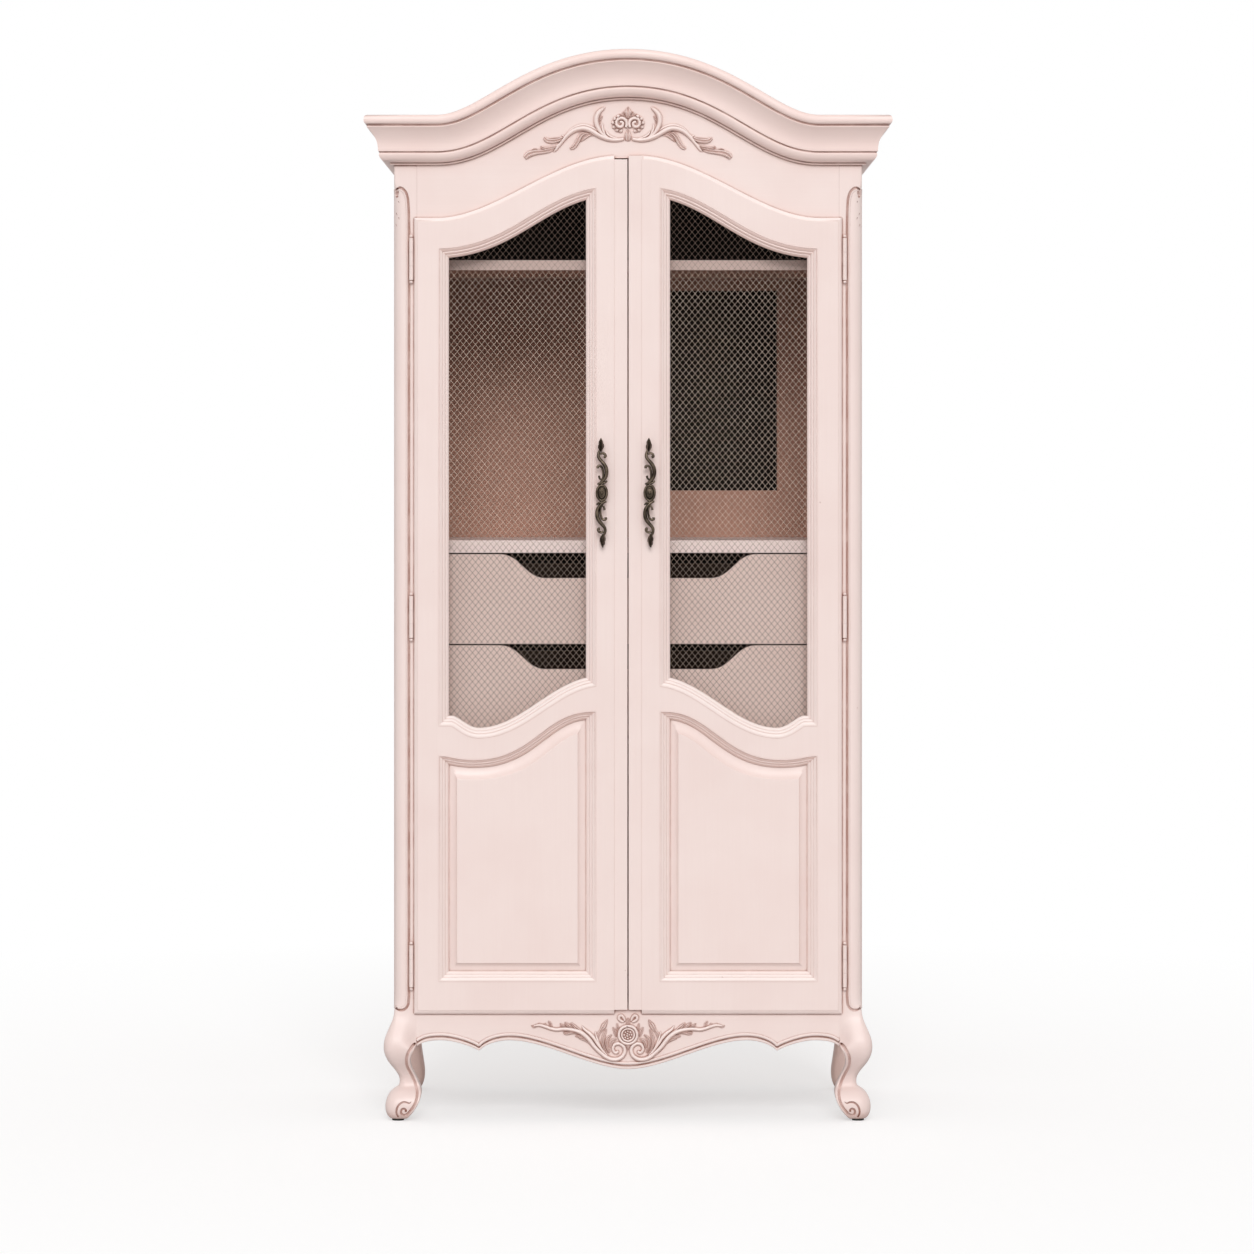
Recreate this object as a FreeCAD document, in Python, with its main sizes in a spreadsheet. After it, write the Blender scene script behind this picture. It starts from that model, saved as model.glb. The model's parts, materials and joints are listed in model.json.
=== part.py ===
import FreeCAD, Part
import math
import os

from FreeCAD import Placement, Rotation, Vector

# A painted provincial armoire: an arched cornice on four posts that run down into
# legs, two lipped doors with wire mesh over a raised panel, a shelf and two drawers.
# X runs to the right, Y to the back and Z up. The origin is on the floor, in the
# middle of the footprint. All sizes are in millimetres.

SIZES = {
    # Carcass
    "body_width": 936,
    "body_depth": 500,
    "post_size": 46,
    "leg_height": 219,
    "opening_height": 1580,
    "frieze_height": 186,
    "frame_thick": 22,
    "tenon_length": 18,
    "tenon_thick": 8,
    "tenon_shoulder": 10,
    "side_panel_thick": 10,
    "side_panel_setback": 12,
    "groove_depth": 8,
    "side_rail_height": 90,
    "side_apron_height": 70,
    "side_apron_arch": 22,
    "rear_rail_height": 60,
    "back_thick": 6,
    "back_recess": 6,
    "back_lap": 10,
    "top_thick": 18,
    "bottom_thick": 18,
    "shelf_thick": 20,
    "cleat_size": 20,
    "board_setback": 2,
    # Arched opening and cornice
    "opening_rise": 125,
    "opening_flat": 40,
    "opening_crown": 16,
    "cornice_projection": 58,
    "cornice_height": 96,
    "cornice_drop": 74,
    "cornice_rise": 131,
    "cornice_flat": 144,
    "frieze_hidden_edge": 18,
    # Carved post corners and legs
    "corner_round": 24,
    "corner_quirk": 3,
    "corner_stop_top": 123,
    "corner_stop_bottom": 6,
    "knee_height": 152,
    "knee_swell": 20,
    "calf_height": 121,
    "calf_hollow": 13,
    "ankle_height": 76,
    "ankle_waist": 11,
    "scroll_height": 30,
    "scroll_swell": 16,
    "scroll_crown": 58,
    "scroll_tuck": 9,
    "toe_height": 10,
    "toe_width": 32,
    "leg_ease": 5,
    "glide_height": 3,
    "glide_radius": 12,
    # Apron
    "apron_shoulder": 59,
    "apron_cusp": 80,
    "apron_drop": 117,
    "apron_leg_joint": 71,
    # Doors
    "lip_overlap": 5.5,
    "lip_thick": 11,
    "lip_gap": 0.6,
    "lip_round": 4,
    "inset_thick": 11,
    "inset_clearance": 3,
    "hinge_stile_width": 53.5,
    "meeting_stile_width": 41,
    "strip_width": 26,
    "centre_gap": 2.4,
    "top_rail_height": 63,
    "top_rail_rise": 122,
    "bottom_rail_height": 65,
    "mid_rail_base": 509,
    "mid_rail_rise": 92,
    "mid_rail_neck": 38,
    "mid_rail_ear": 24,
    "mid_rail_ear_width": 20,
    "mid_rail_trough": 76,
    "mid_rail_crest": 142,
    "moulding_width": 16,
    "moulding_depth": 12,
    "sheet_margin": 2,
    "mesh_thick": 1.2,
    "mesh_rim": 14,
    "mesh_bar": 6,
    "panel_thick": 8,
    "panel_bevel": 16,
    "panel_rise": 6,
    # Hinges
    "hinge_offset": 5.5,
    "hinge_stand": 6,
    "hinge_low": 90,
    "hinge_middle": 788,
    "hinge_high": 1503,
    "knuckle_radius": 4.2,
    "knuckle_length": 28,
    "knuckle_gap": 0.3,
    "pin_radius": 1.6,
    "pin_clearance": 0.05,
    "tip_radius": 3.4,
    "leaf_thick": 1.2,
    "leaf_gap": 0.2,
    "leaf_reach": 24,
    # Handles
    "handle_length": 220,
    "handle_height": 1036,
    "handle_stand": 16,
    "handle_rod": 3.6,
    "handle_sway": 9,
    "boss_radius": 9,
    # Shelves and drawers
    "shelf_height": 1483,
    "case_height": 915,
    "case_top_thick": 25,
    "case_bottom_thick": 15,
    "case_side_thick": 14,
    "drawer_side_gap": 3,
    "drawer_height": 180,
    "drawer_rear_gap": 6,
    "drawer_gap": 3,
    "drawer_front_thick": 18,
    "drawer_side_thick": 14,
    "drawer_side_drop": 26,
    "drawer_bottom_thick": 6,
    "drawer_bottom_lift": 12,
    "scoop_width": 515,
    "scoop_flat": 333,
    "scoop_depth": 48,
    "runner_height": 12,
    "runner_bite": 6,
    "runner_clearance": 0.3,
    "runner_inset": 24,
    # Access opening in the back
    "access_width": 300,
    "access_height": 420,
    "access_left": 13,
    "access_base": 1038,
    "cover_lap": 20,
    "cover_thick": 3,
    "screw_radius": 3.5,
    "screw_head": 1.5,
    # Applied carvings
    "carving_thick": 7,
    "frieze_carving_half": 208,
    "frieze_carving_height": 106,
    "frieze_carving_base": 124,
    "apron_carving_half": 190,
    "apron_carving_height": 92,
    "apron_carving_base": 99,
}

doc = FreeCAD.newDocument("armoire")
sheet = doc.addObject("Spreadsheet::Sheet", "dims")
for row, (name, number) in enumerate(SIZES.items(), start=1):
    sheet.set(f"A{row}", str(number))
    sheet.setAlias(f"A{row}", name)
doc.recompute()

finished = []


def formula_of(quantity):
    """The text of a quantity for use inside a bound expression."""
    return getattr(quantity, "formula", None) or repr(float(quantity))


class Size(float):
    """A length that carries the formula by which it follows the sheet's cells."""

    def __new__(cls, number, formula):
        made = super().__new__(cls, number)
        made.formula = formula
        return made

    def __add__(self, other):
        return Size(float(self) + float(other), f"({self.formula} + {formula_of(other)})")

    def __radd__(self, other):
        return Size(float(other) + float(self), f"({formula_of(other)} + {self.formula})")

    def __sub__(self, other):
        return Size(float(self) - float(other), f"({self.formula} - {formula_of(other)})")

    def __rsub__(self, other):
        return Size(float(other) - float(self), f"({formula_of(other)} - {self.formula})")

    def __mul__(self, other):
        return Size(float(self) * float(other), f"({self.formula} * {formula_of(other)})")

    def __rmul__(self, other):
        return Size(float(other) * float(self), f"({formula_of(other)} * {self.formula})")

    def __truediv__(self, other):
        return Size(float(self) / float(other), f"({self.formula} / {formula_of(other)})")

    def __neg__(self):
        return Size(-float(self), f"(-{self.formula})")


def cell(name):
    """One driving dimension, read from the sheet and tied to its cell."""
    return Size(sheet.get(name), f"dims.{name}")


# Planes that many pieces share
half_body = cell("body_width") / 2
post = cell("post_size")
half_opening = half_body - post
front = (cell("cornice_projection") - cell("body_depth")) / 2
rear = (cell("cornice_projection") + cell("body_depth")) / 2
front_post_back = front + post
rear_post_front = rear - post
sill = cell("leg_height")
spring = sill + cell("opening_height")
post_top = spring + cell("frieze_height")
back_rear = rear - cell("back_recess")
back_front = back_rear - cell("back_thick")
inside = half_body - cell("side_panel_setback") - cell("side_panel_thick")
frame_inside = half_body - cell("frame_thick")
board_front = front_post_back + cell("board_setback")
frame_back = front + cell("frame_thick")

# Planes of the doors, for the left door on the negative side
lip = cell("lip_overlap")
door_outer = -(half_opening + lip)
door_face = front - cell("lip_gap") - cell("lip_thick")
lip_back = front - cell("lip_gap")
door_back = lip_back + cell("inset_thick")
door_thick = cell("lip_thick") + cell("inset_thick")
door_inner = -(cell("centre_gap") / 2)
lip_inner = door_inner - cell("strip_width")
door_base = sill - lip
inset_outer = -(half_opening - cell("inset_clearance"))
inset_base = sill + cell("inset_clearance")
frame_left = door_outer + cell("hinge_stile_width")
frame_right = lip_inner - cell("meeting_stile_width")
axis_x = door_outer - cell("hinge_offset")
axis_y = front - cell("hinge_stand")


def keep(piece, label):
    """Names a finished piece and puts it on the list of files."""
    piece.Label = label
    finished.append(piece)
    return piece


def bind(target, prop, quantity):
    """Ties a property to the sheet."""
    target.setExpression(prop, formula_of(quantity))


def box(name, x, y, z):
    """A board between pairs of limits."""
    board = doc.addObject("Part::Box", name)
    for side, axis, (low, high) in zip(("Length", "Width", "Height"), "xyz", (x, y, z)):
        bind(board, side, high - low)
        bind(board, f"Placement.Base.{axis}", low)
    return board


def upright(name, radius, x, y, z):
    """A round bar standing between two heights."""
    bar = doc.addObject("Part::Cylinder", name)
    bind(bar, "Radius", radius)
    bind(bar, "Height", z[1] - z[0])
    for axis, place in zip("xyz", (x, y, z[0])):
        bind(bar, f"Placement.Base.{axis}", place)
    return bar


def along_y(name, radius, x, y, z):
    """A round bar lying from front to back between two places."""
    bar = doc.addObject("Part::Cylinder", name)
    bar.Placement = Placement(Vector(), Rotation(Vector(1, 0, 0), -90))
    bind(bar, "Radius", radius)
    bind(bar, "Height", y[1] - y[0])
    for axis, place in zip("xyz", (x, y[0], z)):
        bind(bar, f"Placement.Base.{axis}", place)
    return bar


def ball(name, radius, x, y, z):
    """A ball about a point."""
    knob = doc.addObject("Part::Sphere", name)
    bind(knob, "Radius", radius)
    for axis, place in zip("xyz", (x, y, z)):
        bind(knob, f"Placement.Base.{axis}", place)
    return knob


def fuse(name, *pieces):
    """Several shapes glued into one solid."""
    whole = doc.addObject("Part::MultiFuse", name)
    whole.Shapes = list(pieces)
    whole.Refine = True
    return whole


def cut(name, base, *tools):
    """A solid with other shapes taken away from it."""
    tool = tools[0] if len(tools) == 1 else fuse(f"{name}_tools", *tools)
    rest = doc.addObject("Part::Cut", name)
    rest.Base = base
    rest.Tool = tool
    return rest


def group(name, *pieces):
    """Separate solids that share one node."""
    together = doc.addObject("Part::Compound", name)
    together.Links = list(pieces)
    return together


def mirrored(name, piece):
    """The same piece on the other side of the cabinet."""
    twin = doc.addObject("Part::Mirroring", name)
    twin.Source = piece
    twin.Base = Vector(0, 0, 0)
    twin.Normal = Vector(1, 0, 0)
    return twin


def s_curve(x0, z0, x1, z1, soft0, soft1):
    """Poles of a curve that leaves one level and arrives at another level."""
    run = x1 - x0
    return [(x0, z0), (x0 + soft0 * run, z0), (x1 - soft1 * run, z1), (x1, z1)]


def split(poles, share):
    """The two halves of a cubic curve, parted at a share of its length."""

    def between(p, q):
        return tuple(a + (b - a) * share for a, b in zip(p, q))

    a, b, c, d = poles
    ab, bc, cd = between(a, b), between(b, c), between(c, d)
    abc, bcd = between(ab, bc), between(bc, cd)
    middle = between(abc, bcd)
    return [a, ab, abc, middle], [middle, bcd, cd, d]


def share_at(poles, x):
    """Where a curve that runs to the right passes a given x."""
    low, high = 0.0, 1.0
    for _ in range(60):
        middle = (low + high) / 2
        if split(poles, middle)[0][3][0] < x:
            low = middle
        else:
            high = middle
    return (low + high) / 2


def clip(poles, x0, x1):
    """The stretch of a curve between two values of x."""
    if x1 < poles[3][0]:
        poles = split(poles, share_at(poles, x1))[0]
    if x0 > poles[0][0]:
        poles = split(poles, share_at(poles, x0))[1]
    return poles


def raised(poles, rise):
    """A curve moved up."""
    return [(x, z + rise) for x, z in poles]


def crossing(first, second):
    """Where two straight legs meet when they are run on."""
    (ax, az), (bx, bz) = first
    (cx, cz), (dx, dz) = second
    turn = (bx - ax) * (dz - cz) - (bz - az) * (dx - cx)
    share = ((cx - ax) * (dz - cz) - (cz - az) * (dx - cx)) / turn
    return (ax + share * (bx - ax), az + share * (bz - az))


def parallel(poles, distance):
    """A curve that keeps a distance to the left of another one's run."""
    legs = []
    for (x0, z0), (x1, z1) in zip(poles, poles[1:]):
        share = distance / math.hypot(x1 - x0, z1 - z0)
        aside = ((z0 - z1) * share, (x1 - x0) * share)
        legs.append(((x0 + aside[0], z0 + aside[1]), (x1 + aside[0], z1 + aside[1])))
    bends = [crossing(first, second) for first, second in zip(legs, legs[1:])]
    return [legs[0][0], *bends, legs[-1][1]]


def backwards(poles):
    """The same curve run the other way."""
    return list(reversed(poles))


def flipped(poles):
    """A curve reflected to the other side and run the other way."""
    return backwards([(-x, z) for x, z in poles])


class Path:
    """An outline that grows by straight runs and soft curves in its sketch's axes."""

    def __init__(self, x, y):
        self.start = (float(x), float(y))
        self.here = self.start
        self.parts = []

    def line(self, x, y):
        """A straight run to a point."""
        there = (float(x), float(y))
        if math.dist(self.here, there) > 1e-6:
            self.parts.append(Part.LineSegment(Vector(*self.here, 0), Vector(*there, 0)))
        self.here = there
        return self

    def curve(self, poles):
        """A cubic curve, reached by a straight run where it starts elsewhere."""
        self.line(*poles[0])
        soft = Part.BezierCurve()
        soft.setPoles([Vector(*self.here, 0)] + [Vector(float(x), float(y), 0) for x, y in poles[1:]])
        self.parts.append(soft.toBSpline())
        self.here = (float(poles[3][0]), float(poles[3][1]))
        return self

    def arc(self, middle, end):
        """A round stretch through a point to an end."""
        start = Vector(*self.here, 0)
        self.parts.append(Part.Arc(start, Vector(*map(float, middle), 0), Vector(*map(float, end), 0)))
        self.here = (float(end[0]), float(end[1]))
        return self

    def close(self):
        """A straight run back to the start."""
        return self.line(*self.start)

    def wire(self):
        """The outline as a wire in the plane of the front."""
        edges = [part.toShape() for part in self.parts]
        flat = Part.Wire(Part.__sortEdges__(edges))
        flat.Placement = Placement(Vector(), Rotation(Vector(1, 0, 0), 90))
        return flat


def sketch_on(body, role, path, offset=None):
    """A sketch on one of a body's own planes, moved along the plane's normal."""
    plane = next(item for item in body.Origin.OriginFeatures if item.Role == role)
    drawing = body.newObject("Sketcher::SketchObject", f"{body.Name}_sketch")
    drawing.AttachmentSupport = [(plane, "")]
    drawing.MapMode = "FlatFace"
    if offset is not None:
        bind(drawing, "AttachmentOffset.Base.z", offset)
    for part in path.parts:
        drawing.addGeometry(part)
    return drawing


def pad(body, role, path, thick, offset=None, back=False):
    """A padded layer of a body."""
    layer = body.newObject("PartDesign::Pad", f"{body.Name}_pad")
    layer.Profile = sketch_on(body, role, path, offset)
    layer.Reversed = back
    bind(layer, "Length", thick)
    return layer


def facing(name, *layers, y=0.0):
    """A piece sawn from the front: each layer is an outline, a start and a thickness."""
    body = doc.addObject("PartDesign::Body", name)
    for path, start, thick in layers:
        pad(body, "XZ_Plane", path, thick, -start, back=True)
    bind(body, "Placement.Base.y", y)
    return body


def lying(name, path, z, thick):
    """A board sawn from above."""
    body = doc.addObject("PartDesign::Body", name)
    pad(body, "XY_Plane", path, thick)
    bind(body, "Placement.Base.z", z)
    return body


def rectangle(x0, x1, y0, y1):
    """A plain outline."""
    return Path(x0, y0).line(x1, y0).line(x1, y1).line(x0, y1).close()


# Posts and legs

def leg_stations(at_rear):
    """Heights down the leg, each with its swell outwards and its swell inwards.

    A rear leg is slimmer than a front one and has no swell inwards.
    """
    knee = cell("knee_swell")
    hollow = cell("calf_hollow")
    waist = cell("ankle_waist")
    scroll = cell("scroll_swell")
    level = 0 * knee
    tuck = level if at_rear else cell("scroll_tuck")
    swell_start = sill - 2 * lip
    toe = scroll / 2
    sole = cell("toe_width") - post - toe
    return [
        (sill, level, level),
        (swell_start, level, level),
        ((2 * swell_start + cell("knee_height")) / 3, knee / 4, level),
        ((swell_start + 2 * cell("knee_height")) / 3, 0.75 * knee, level),
        (cell("knee_height"), knee, level),
        ((cell("knee_height") + cell("calf_height")) / 2, knee, -hollow / 2),
        (cell("calf_height"), 0.7 * knee, -hollow),
        ((cell("calf_height") + cell("ankle_height")) / 2, -waist / 3, -hollow / 2),
        (cell("ankle_height"), -waist, tuck / 4),
        (cell("scroll_crown"), scroll / 3, tuck),
        ((cell("scroll_crown") + cell("scroll_height")) / 2, 0.85 * scroll, 0.8 * tuck),
        (cell("scroll_height"), scroll, level),
        (cell("toe_height"), 0.75 * scroll, 0.6 * sole),
        (cell("glide_height"), toe, sole),
    ]


def leg_section(name, x, y, height):
    """One section of a leg: a square with its corners taken off."""
    ease = cell("leg_ease")
    path = Path(x[0] + ease, y[0]).line(x[1] - ease, y[0]).line(x[1], y[0] + ease)
    path.line(x[1], y[1] - ease).line(x[1] - ease, y[1]).line(x[0] + ease, y[1])
    path.line(x[0], y[1] - ease).line(x[0], y[0] + ease).close()
    drawing = doc.addObject("Sketcher::SketchObject", name)
    for part in path.parts:
        drawing.addGeometry(part)
    bind(drawing, "Placement.Base.z", height)
    return drawing


def post_and_leg(name, at_rear):
    """A left corner post that runs down into its leg."""
    sections = []
    for height, outward, inward in leg_stations(at_rear):
        y_limits = (front - outward, front_post_back + inward)
        if at_rear:
            y_limits = (rear_post_front - inward / 2, rear)
        x_limits = (-half_body - outward, -half_opening + inward)
        sections.append(leg_section(f"{name}_section", x_limits, y_limits, height))
    leg = doc.addObject("Part::Loft", f"{name}_leg")
    leg.Sections = sections
    leg.Solid = True
    leg.Ruled = True
    y_post = rear_post_front if at_rear else front
    shaft = box(f"{name}_shaft", (-half_body, -half_opening), (y_post, y_post + post), (sill, post_top))
    return fuse(name, leg, shaft)


def corner_waste():
    """What is planed off the outer corner of a front post, and the quirk beside the round."""
    reach = cell("corner_round")
    low = sill + cell("corner_stop_bottom")
    high = post_top - cell("corner_stop_top")
    block = box("corner_block", (-half_body, reach - half_body), (front, front + reach), (low, high))
    core = upright("corner_core", reach, reach - half_body, front + reach, (low, high))
    quirk = cell("corner_quirk")
    quirk_x = (reach - half_body + quirk, reach - half_body + 2 * quirk)
    groove = box("corner_groove", quirk_x, (front, front + quirk), (low, high))
    quirk_y = (front + reach + quirk, front + reach + 2 * quirk)
    side_groove = box("side_groove", (-half_body, quirk - half_body), quirk_y, (low, high))
    return [cut("corner_waste", block, core), groove, side_groove]


# A tongue and its mortise are the same block, drawn once for each piece
rail_core = (cell("frame_thick") - cell("tenon_thick")) / 2
tenon_y = (front + rail_core, front + rail_core + cell("tenon_thick"))
rear_rail_y = (back_front - cell("frame_thick"), back_front)
rear_tenon_y = (rear_rail_y[0] + rail_core, rear_rail_y[1] - rail_core)
side_tenon_x = (-half_body + rail_core, -half_body + rail_core + cell("tenon_thick"))
shoulder = cell("tenon_shoulder")
reach = cell("tenon_length")
front_tenon_x = (-half_opening - reach, -half_opening)
side_rail_base = post_top - cell("side_rail_height")
side_apron_top = sill + cell("bottom_thick")
side_apron_base = side_apron_top - cell("side_apron_height")
rear_rail_base = post_top - cell("rear_rail_height")
rear_foot_top = sill + cell("bottom_thick")
rear_foot_base = rear_foot_top - cell("rear_rail_height")
apron_tenon_z = (sill - cell("apron_shoulder") + shoulder, sill - shoulder)
frieze_tenon_z = (spring + shoulder, post_top - shoulder)
side_top_z = (side_rail_base + shoulder, post_top - shoulder)
side_low_z = (side_apron_base + 2 * shoulder, side_apron_top - shoulder)
panel_x = (-inside - cell("side_panel_thick"), -inside)
panel_z = (side_apron_top - cell("groove_depth"), side_rail_base + cell("groove_depth"))
panel_y = (front_post_back - cell("groove_depth"), rear_post_front + cell("groove_depth"))


def side_tenons(tag, y):
    """The tongues of the two side rails at one post."""
    high = box(f"side_top_tenon_{tag}", side_tenon_x, y, side_top_z)
    low = box(f"side_low_tenon_{tag}", side_tenon_x, y, side_low_z)
    return [high, low]


side_front_y = (front_post_back - reach, front_post_back)
side_rear_y = (rear_post_front, rear_post_front + reach)
front_mortises = side_tenons("front_post", side_front_y)
front_mortises.append(box("frieze_mortise", front_tenon_x, tenon_y, frieze_tenon_z))
front_mortises.append(box("apron_mortise", front_tenon_x, tenon_y, apron_tenon_z))
front_mortises.append(box("front_post_groove", panel_x, (panel_y[0], front_post_back), panel_z))
front_post = cut(
    "front_left_post", post_and_leg("front_left_blank", False), *front_mortises, *corner_waste()
)
keep(front_post, "front_left_post")
keep(mirrored("front_right_post", front_post), "front_right_post")

rear_mortises = side_tenons("rear_post", side_rear_y)
rear_top_z = (rear_rail_base + shoulder, post_top - shoulder)
rear_low_z = (rear_foot_base + shoulder, rear_foot_top - shoulder)
rear_mortises.append(box("rear_top_mortise", front_tenon_x, rear_tenon_y, rear_top_z))
rear_mortises.append(box("rear_low_mortise", front_tenon_x, rear_tenon_y, rear_low_z))
rear_mortises.append(box("rear_post_groove", panel_x, (rear_post_front, panel_y[1]), panel_z))
rebate_x = (-half_opening - cell("back_lap"), -half_opening)
rebate_z = (rear_foot_base, post_top)
rear_mortises.append(box("back_rebate", rebate_x, (back_front, rear), rebate_z))
rear_post = cut("rear_left_post", post_and_leg("rear_left_blank", True), *rear_mortises)
keep(rear_post, "rear_left_post")
keep(mirrored("rear_right_post", rear_post), "rear_right_post")

glide_x = half_body + cell("scroll_swell") / 2 - cell("toe_width") / 2
glide_front = front - cell("scroll_swell") / 2 + cell("toe_width") / 2
glide_rear = rear - cell("toe_width") / 2
glides = []
for side, x in (("left", -glide_x), ("right", glide_x)):
    for end, y in (("front", glide_front), ("rear", glide_rear)):
        span = (0 * glide_x, cell("glide_height"))
        glides.append(upright(f"{end}_{side}_glide", cell("glide_radius"), x, y, span))
keep(group("foot_glides", *glides), "foot_glides")


# Front frame: frieze and apron

def opening_top(drop=0.0):
    """The left half of the arched head of the door opening."""
    x0 = cell("opening_flat") - half_opening
    x1 = -cell("opening_crown")
    z0 = spring - drop
    return s_curve(float(x0), float(z0), float(x1), float(z0 + cell("opening_rise")), 0.32, 0.36)


cornice_base = post_top - cell("cornice_drop")
cornice_end = half_body + cell("cornice_projection")


def cornice_line(lift=0.0):
    """The left half of the cornice's lower edge, from its flat end to the crown."""
    x0 = cell("cornice_flat") - cornice_end
    z0 = cornice_base + lift
    return s_curve(float(x0), float(z0), 0.0, float(z0 + cell("cornice_rise")), 0.35, 0.47)


def frieze_outline():
    """The arched board: shaped below by the opening, above by the cornice."""
    low = opening_top()
    high = cornice_line(float(cell("cornice_height") - cell("frieze_hidden_edge")))
    path = Path(-half_opening, spring).curve(low).curve(flipped(low)).line(half_opening, spring)
    path.line(half_opening, post_top).line(half_body, post_top)
    path.line(half_body, high[0][1]).curve(backwards(flipped(high))).curve(backwards(high))
    path.line(-half_body, high[0][1]).line(-half_body, post_top).line(-half_opening, post_top)
    return path.close()


def with_tenons(name, board, tag, x, y, z):
    """A rail between the left and right posts, with a tongue at each end."""
    left = box(f"{tag}_left_tenon", x, y, z)
    right = box(f"{tag}_right_tenon", (-x[1], -x[0]), y, z)
    return keep(fuse(name, board, left, right), name)


frieze_blank = facing("frieze_blank", (frieze_outline(), 0.0, cell("frame_thick")), y=front)
with_tenons("frieze_board", frieze_blank, "frieze", front_tenon_x, tenon_y, frieze_tenon_z)


def apron_outline():
    """The scalloped rail: two small arches at each leg and a long drop to the middle."""
    shoulder_z = float(sill - cell("apron_shoulder"))
    cusp_z = float(sill - cell("apron_cusp"))
    drop_z = float(sill - cell("apron_drop"))
    joint_z = float(sill - cell("apron_leg_joint"))
    end = -float(half_opening)
    first, cusp, second = end * 0.886, end * 0.706, end * 0.559
    left = [
        [(end, joint_z), (end * 0.975, shoulder_z - 3), (end * 0.94, shoulder_z), (first, shoulder_z)],
        [(first, shoulder_z), (first + 26, shoulder_z), (cusp - 16, cusp_z + 9), (cusp, cusp_z)],
        [(cusp, cusp_z), (cusp + 14, cusp_z + 14), (second - 24, shoulder_z), (second, shoulder_z)],
        s_curve(second, shoulder_z, 0.0, drop_z, 0.3, 0.3),
    ]
    path = Path(-half_opening, sill).line(end, joint_z)
    for poles in left:
        path.curve(poles)
    for poles in reversed(left):
        path.curve(flipped(poles))
    return path.line(half_opening, sill).close()


apron_blank = facing("apron_blank", (apron_outline(), 0.0, cell("frame_thick")), y=front)
with_tenons("front_apron", apron_blank, "apron", front_tenon_x, tenon_y, apron_tenon_z)


# Sides

def side_apron_outline():
    """A low arched rail between the legs, drawn from the side."""
    y0, y1 = float(front_post_back), float(rear_post_front)
    z0, z1 = float(side_apron_base), float(side_apron_top)
    arch = z0 + float(cell("side_apron_arch"))
    middle = (y0 + y1) / 2
    path = Path(y0, z1).line(y0, z0).curve(s_curve(y0, z0, middle, arch, 0.4, 0.4))
    return path.curve(s_curve(middle, arch, y1, z0, 0.4, 0.4)).line(y1, z1).close()


def side_rail(name, blank, z, groove_z):
    """A side rail with its two tongues and the groove for the panel."""
    tongues = [
        box(f"{name}_front_tenon", side_tenon_x, side_front_y, z),
        box(f"{name}_rear_tenon", side_tenon_x, side_rear_y, z),
    ]
    groove = box(f"{name}_groove", panel_x, (front_post_back, rear_post_front), groove_z)
    rail = cut(f"left_{name}", fuse(f"{name}_whole", blank, *tongues), groove)
    keep(rail, f"left_{name}")
    keep(mirrored(f"right_{name}", rail), f"right_{name}")


between_posts = (front_post_back, rear_post_front)
top_blank = box("side_top_blank", (-half_body, -frame_inside), between_posts, (side_rail_base, post_top))
side_rail("side_top_rail", top_blank, side_top_z, (side_rail_base, panel_z[1]))
low_blank = doc.addObject("PartDesign::Body", "side_apron_blank")
pad(low_blank, "YZ_Plane", side_apron_outline(), cell("frame_thick"))
bind(low_blank, "Placement.Base.x", -half_body)
side_rail("side_apron", low_blank, side_low_z, (panel_z[0], side_apron_top))

side_panel = keep(box("left_side_panel", panel_x, panel_y, panel_z), "left_side_panel")
keep(mirrored("right_side_panel", side_panel), "right_side_panel")


# Back, top and bottom

def rear_rail(name, z, tenon_z):
    """A rail between the rear posts, with a tongue at each end."""
    board = box(f"{name}_blank", (-half_opening, half_opening), rear_rail_y, z)
    with_tenons(name, board, name, front_tenon_x, rear_tenon_y, tenon_z)


rear_rail("rear_top_rail", (rear_rail_base, post_top), rear_top_z)
rear_rail("rear_bottom_rail", (rear_foot_base, rear_foot_top), rear_low_z)

access_x = (cell("access_left"), cell("access_left") + cell("access_width"))
access_z = (sill + cell("access_base"), sill + cell("access_base") + cell("access_height"))
back_x = (rebate_x[0], -rebate_x[0])
back_board = box("back_board", back_x, (back_front, back_rear), rebate_z)
access = box("access_opening", access_x, (back_front, back_rear), access_z)
keep(cut("back_panel", back_board, access), "back_panel")
lap = cell("cover_lap")
cover_x = (access_x[0] - lap, access_x[1] + lap)
cover_z = (access_z[0] - lap, access_z[1] + lap)
cover_y = (back_rear, back_rear + cell("cover_thick"))
keep(box("back_access_cover", cover_x, cover_y, cover_z), "back_access_cover")
head_y = (cover_y[1], cover_y[1] + cell("screw_head"))
screws = []
for column in (0.0, 0.5, 1.0):
    for row in (0.0, 1.0):
        x = cover_x[0] + lap / 2 + column * (access_x[1] - access_x[0] + lap)
        z = cover_z[0] + lap / 2 + row * (access_z[1] - access_z[0] + lap)
        screws.append(along_y("cover_screw", cell("screw_radius"), x, head_y, z))
keep(group("cover_screws", *screws), "cover_screws")

top_limits = (frame_back, rear)
top_z = (post_top, post_top + cell("top_thick"))
keep(box("top_board", (-half_body, half_body), top_limits, top_z), "top_board")


def notched(y_front, y_rear, half_width):
    """A board that reaches past the posts to the sides of the cabinet."""
    x, y0, y1 = float(half_width), float(y_front), float(y_rear)
    notch = float(half_opening)
    path = Path(-notch, y0)
    if y0 < float(front_post_back):
        path.line(notch, y0).line(notch, front_post_back).line(x, front_post_back)
    else:
        path = Path(-x, y0).line(x, y0)
    path.line(x, rear_post_front).line(notch, rear_post_front).line(notch, y1)
    path.line(-notch, y1).line(-notch, rear_post_front).line(-x, rear_post_front)
    if y0 < float(front_post_back):
        path.line(-x, front_post_back).line(-notch, front_post_back)
    return path.close()


floor_outline = notched(frame_back, rear_rail_y[0], frame_inside)
keep(lying("bottom_board", floor_outline, sill, cell("bottom_thick")), "bottom_board")


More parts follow.
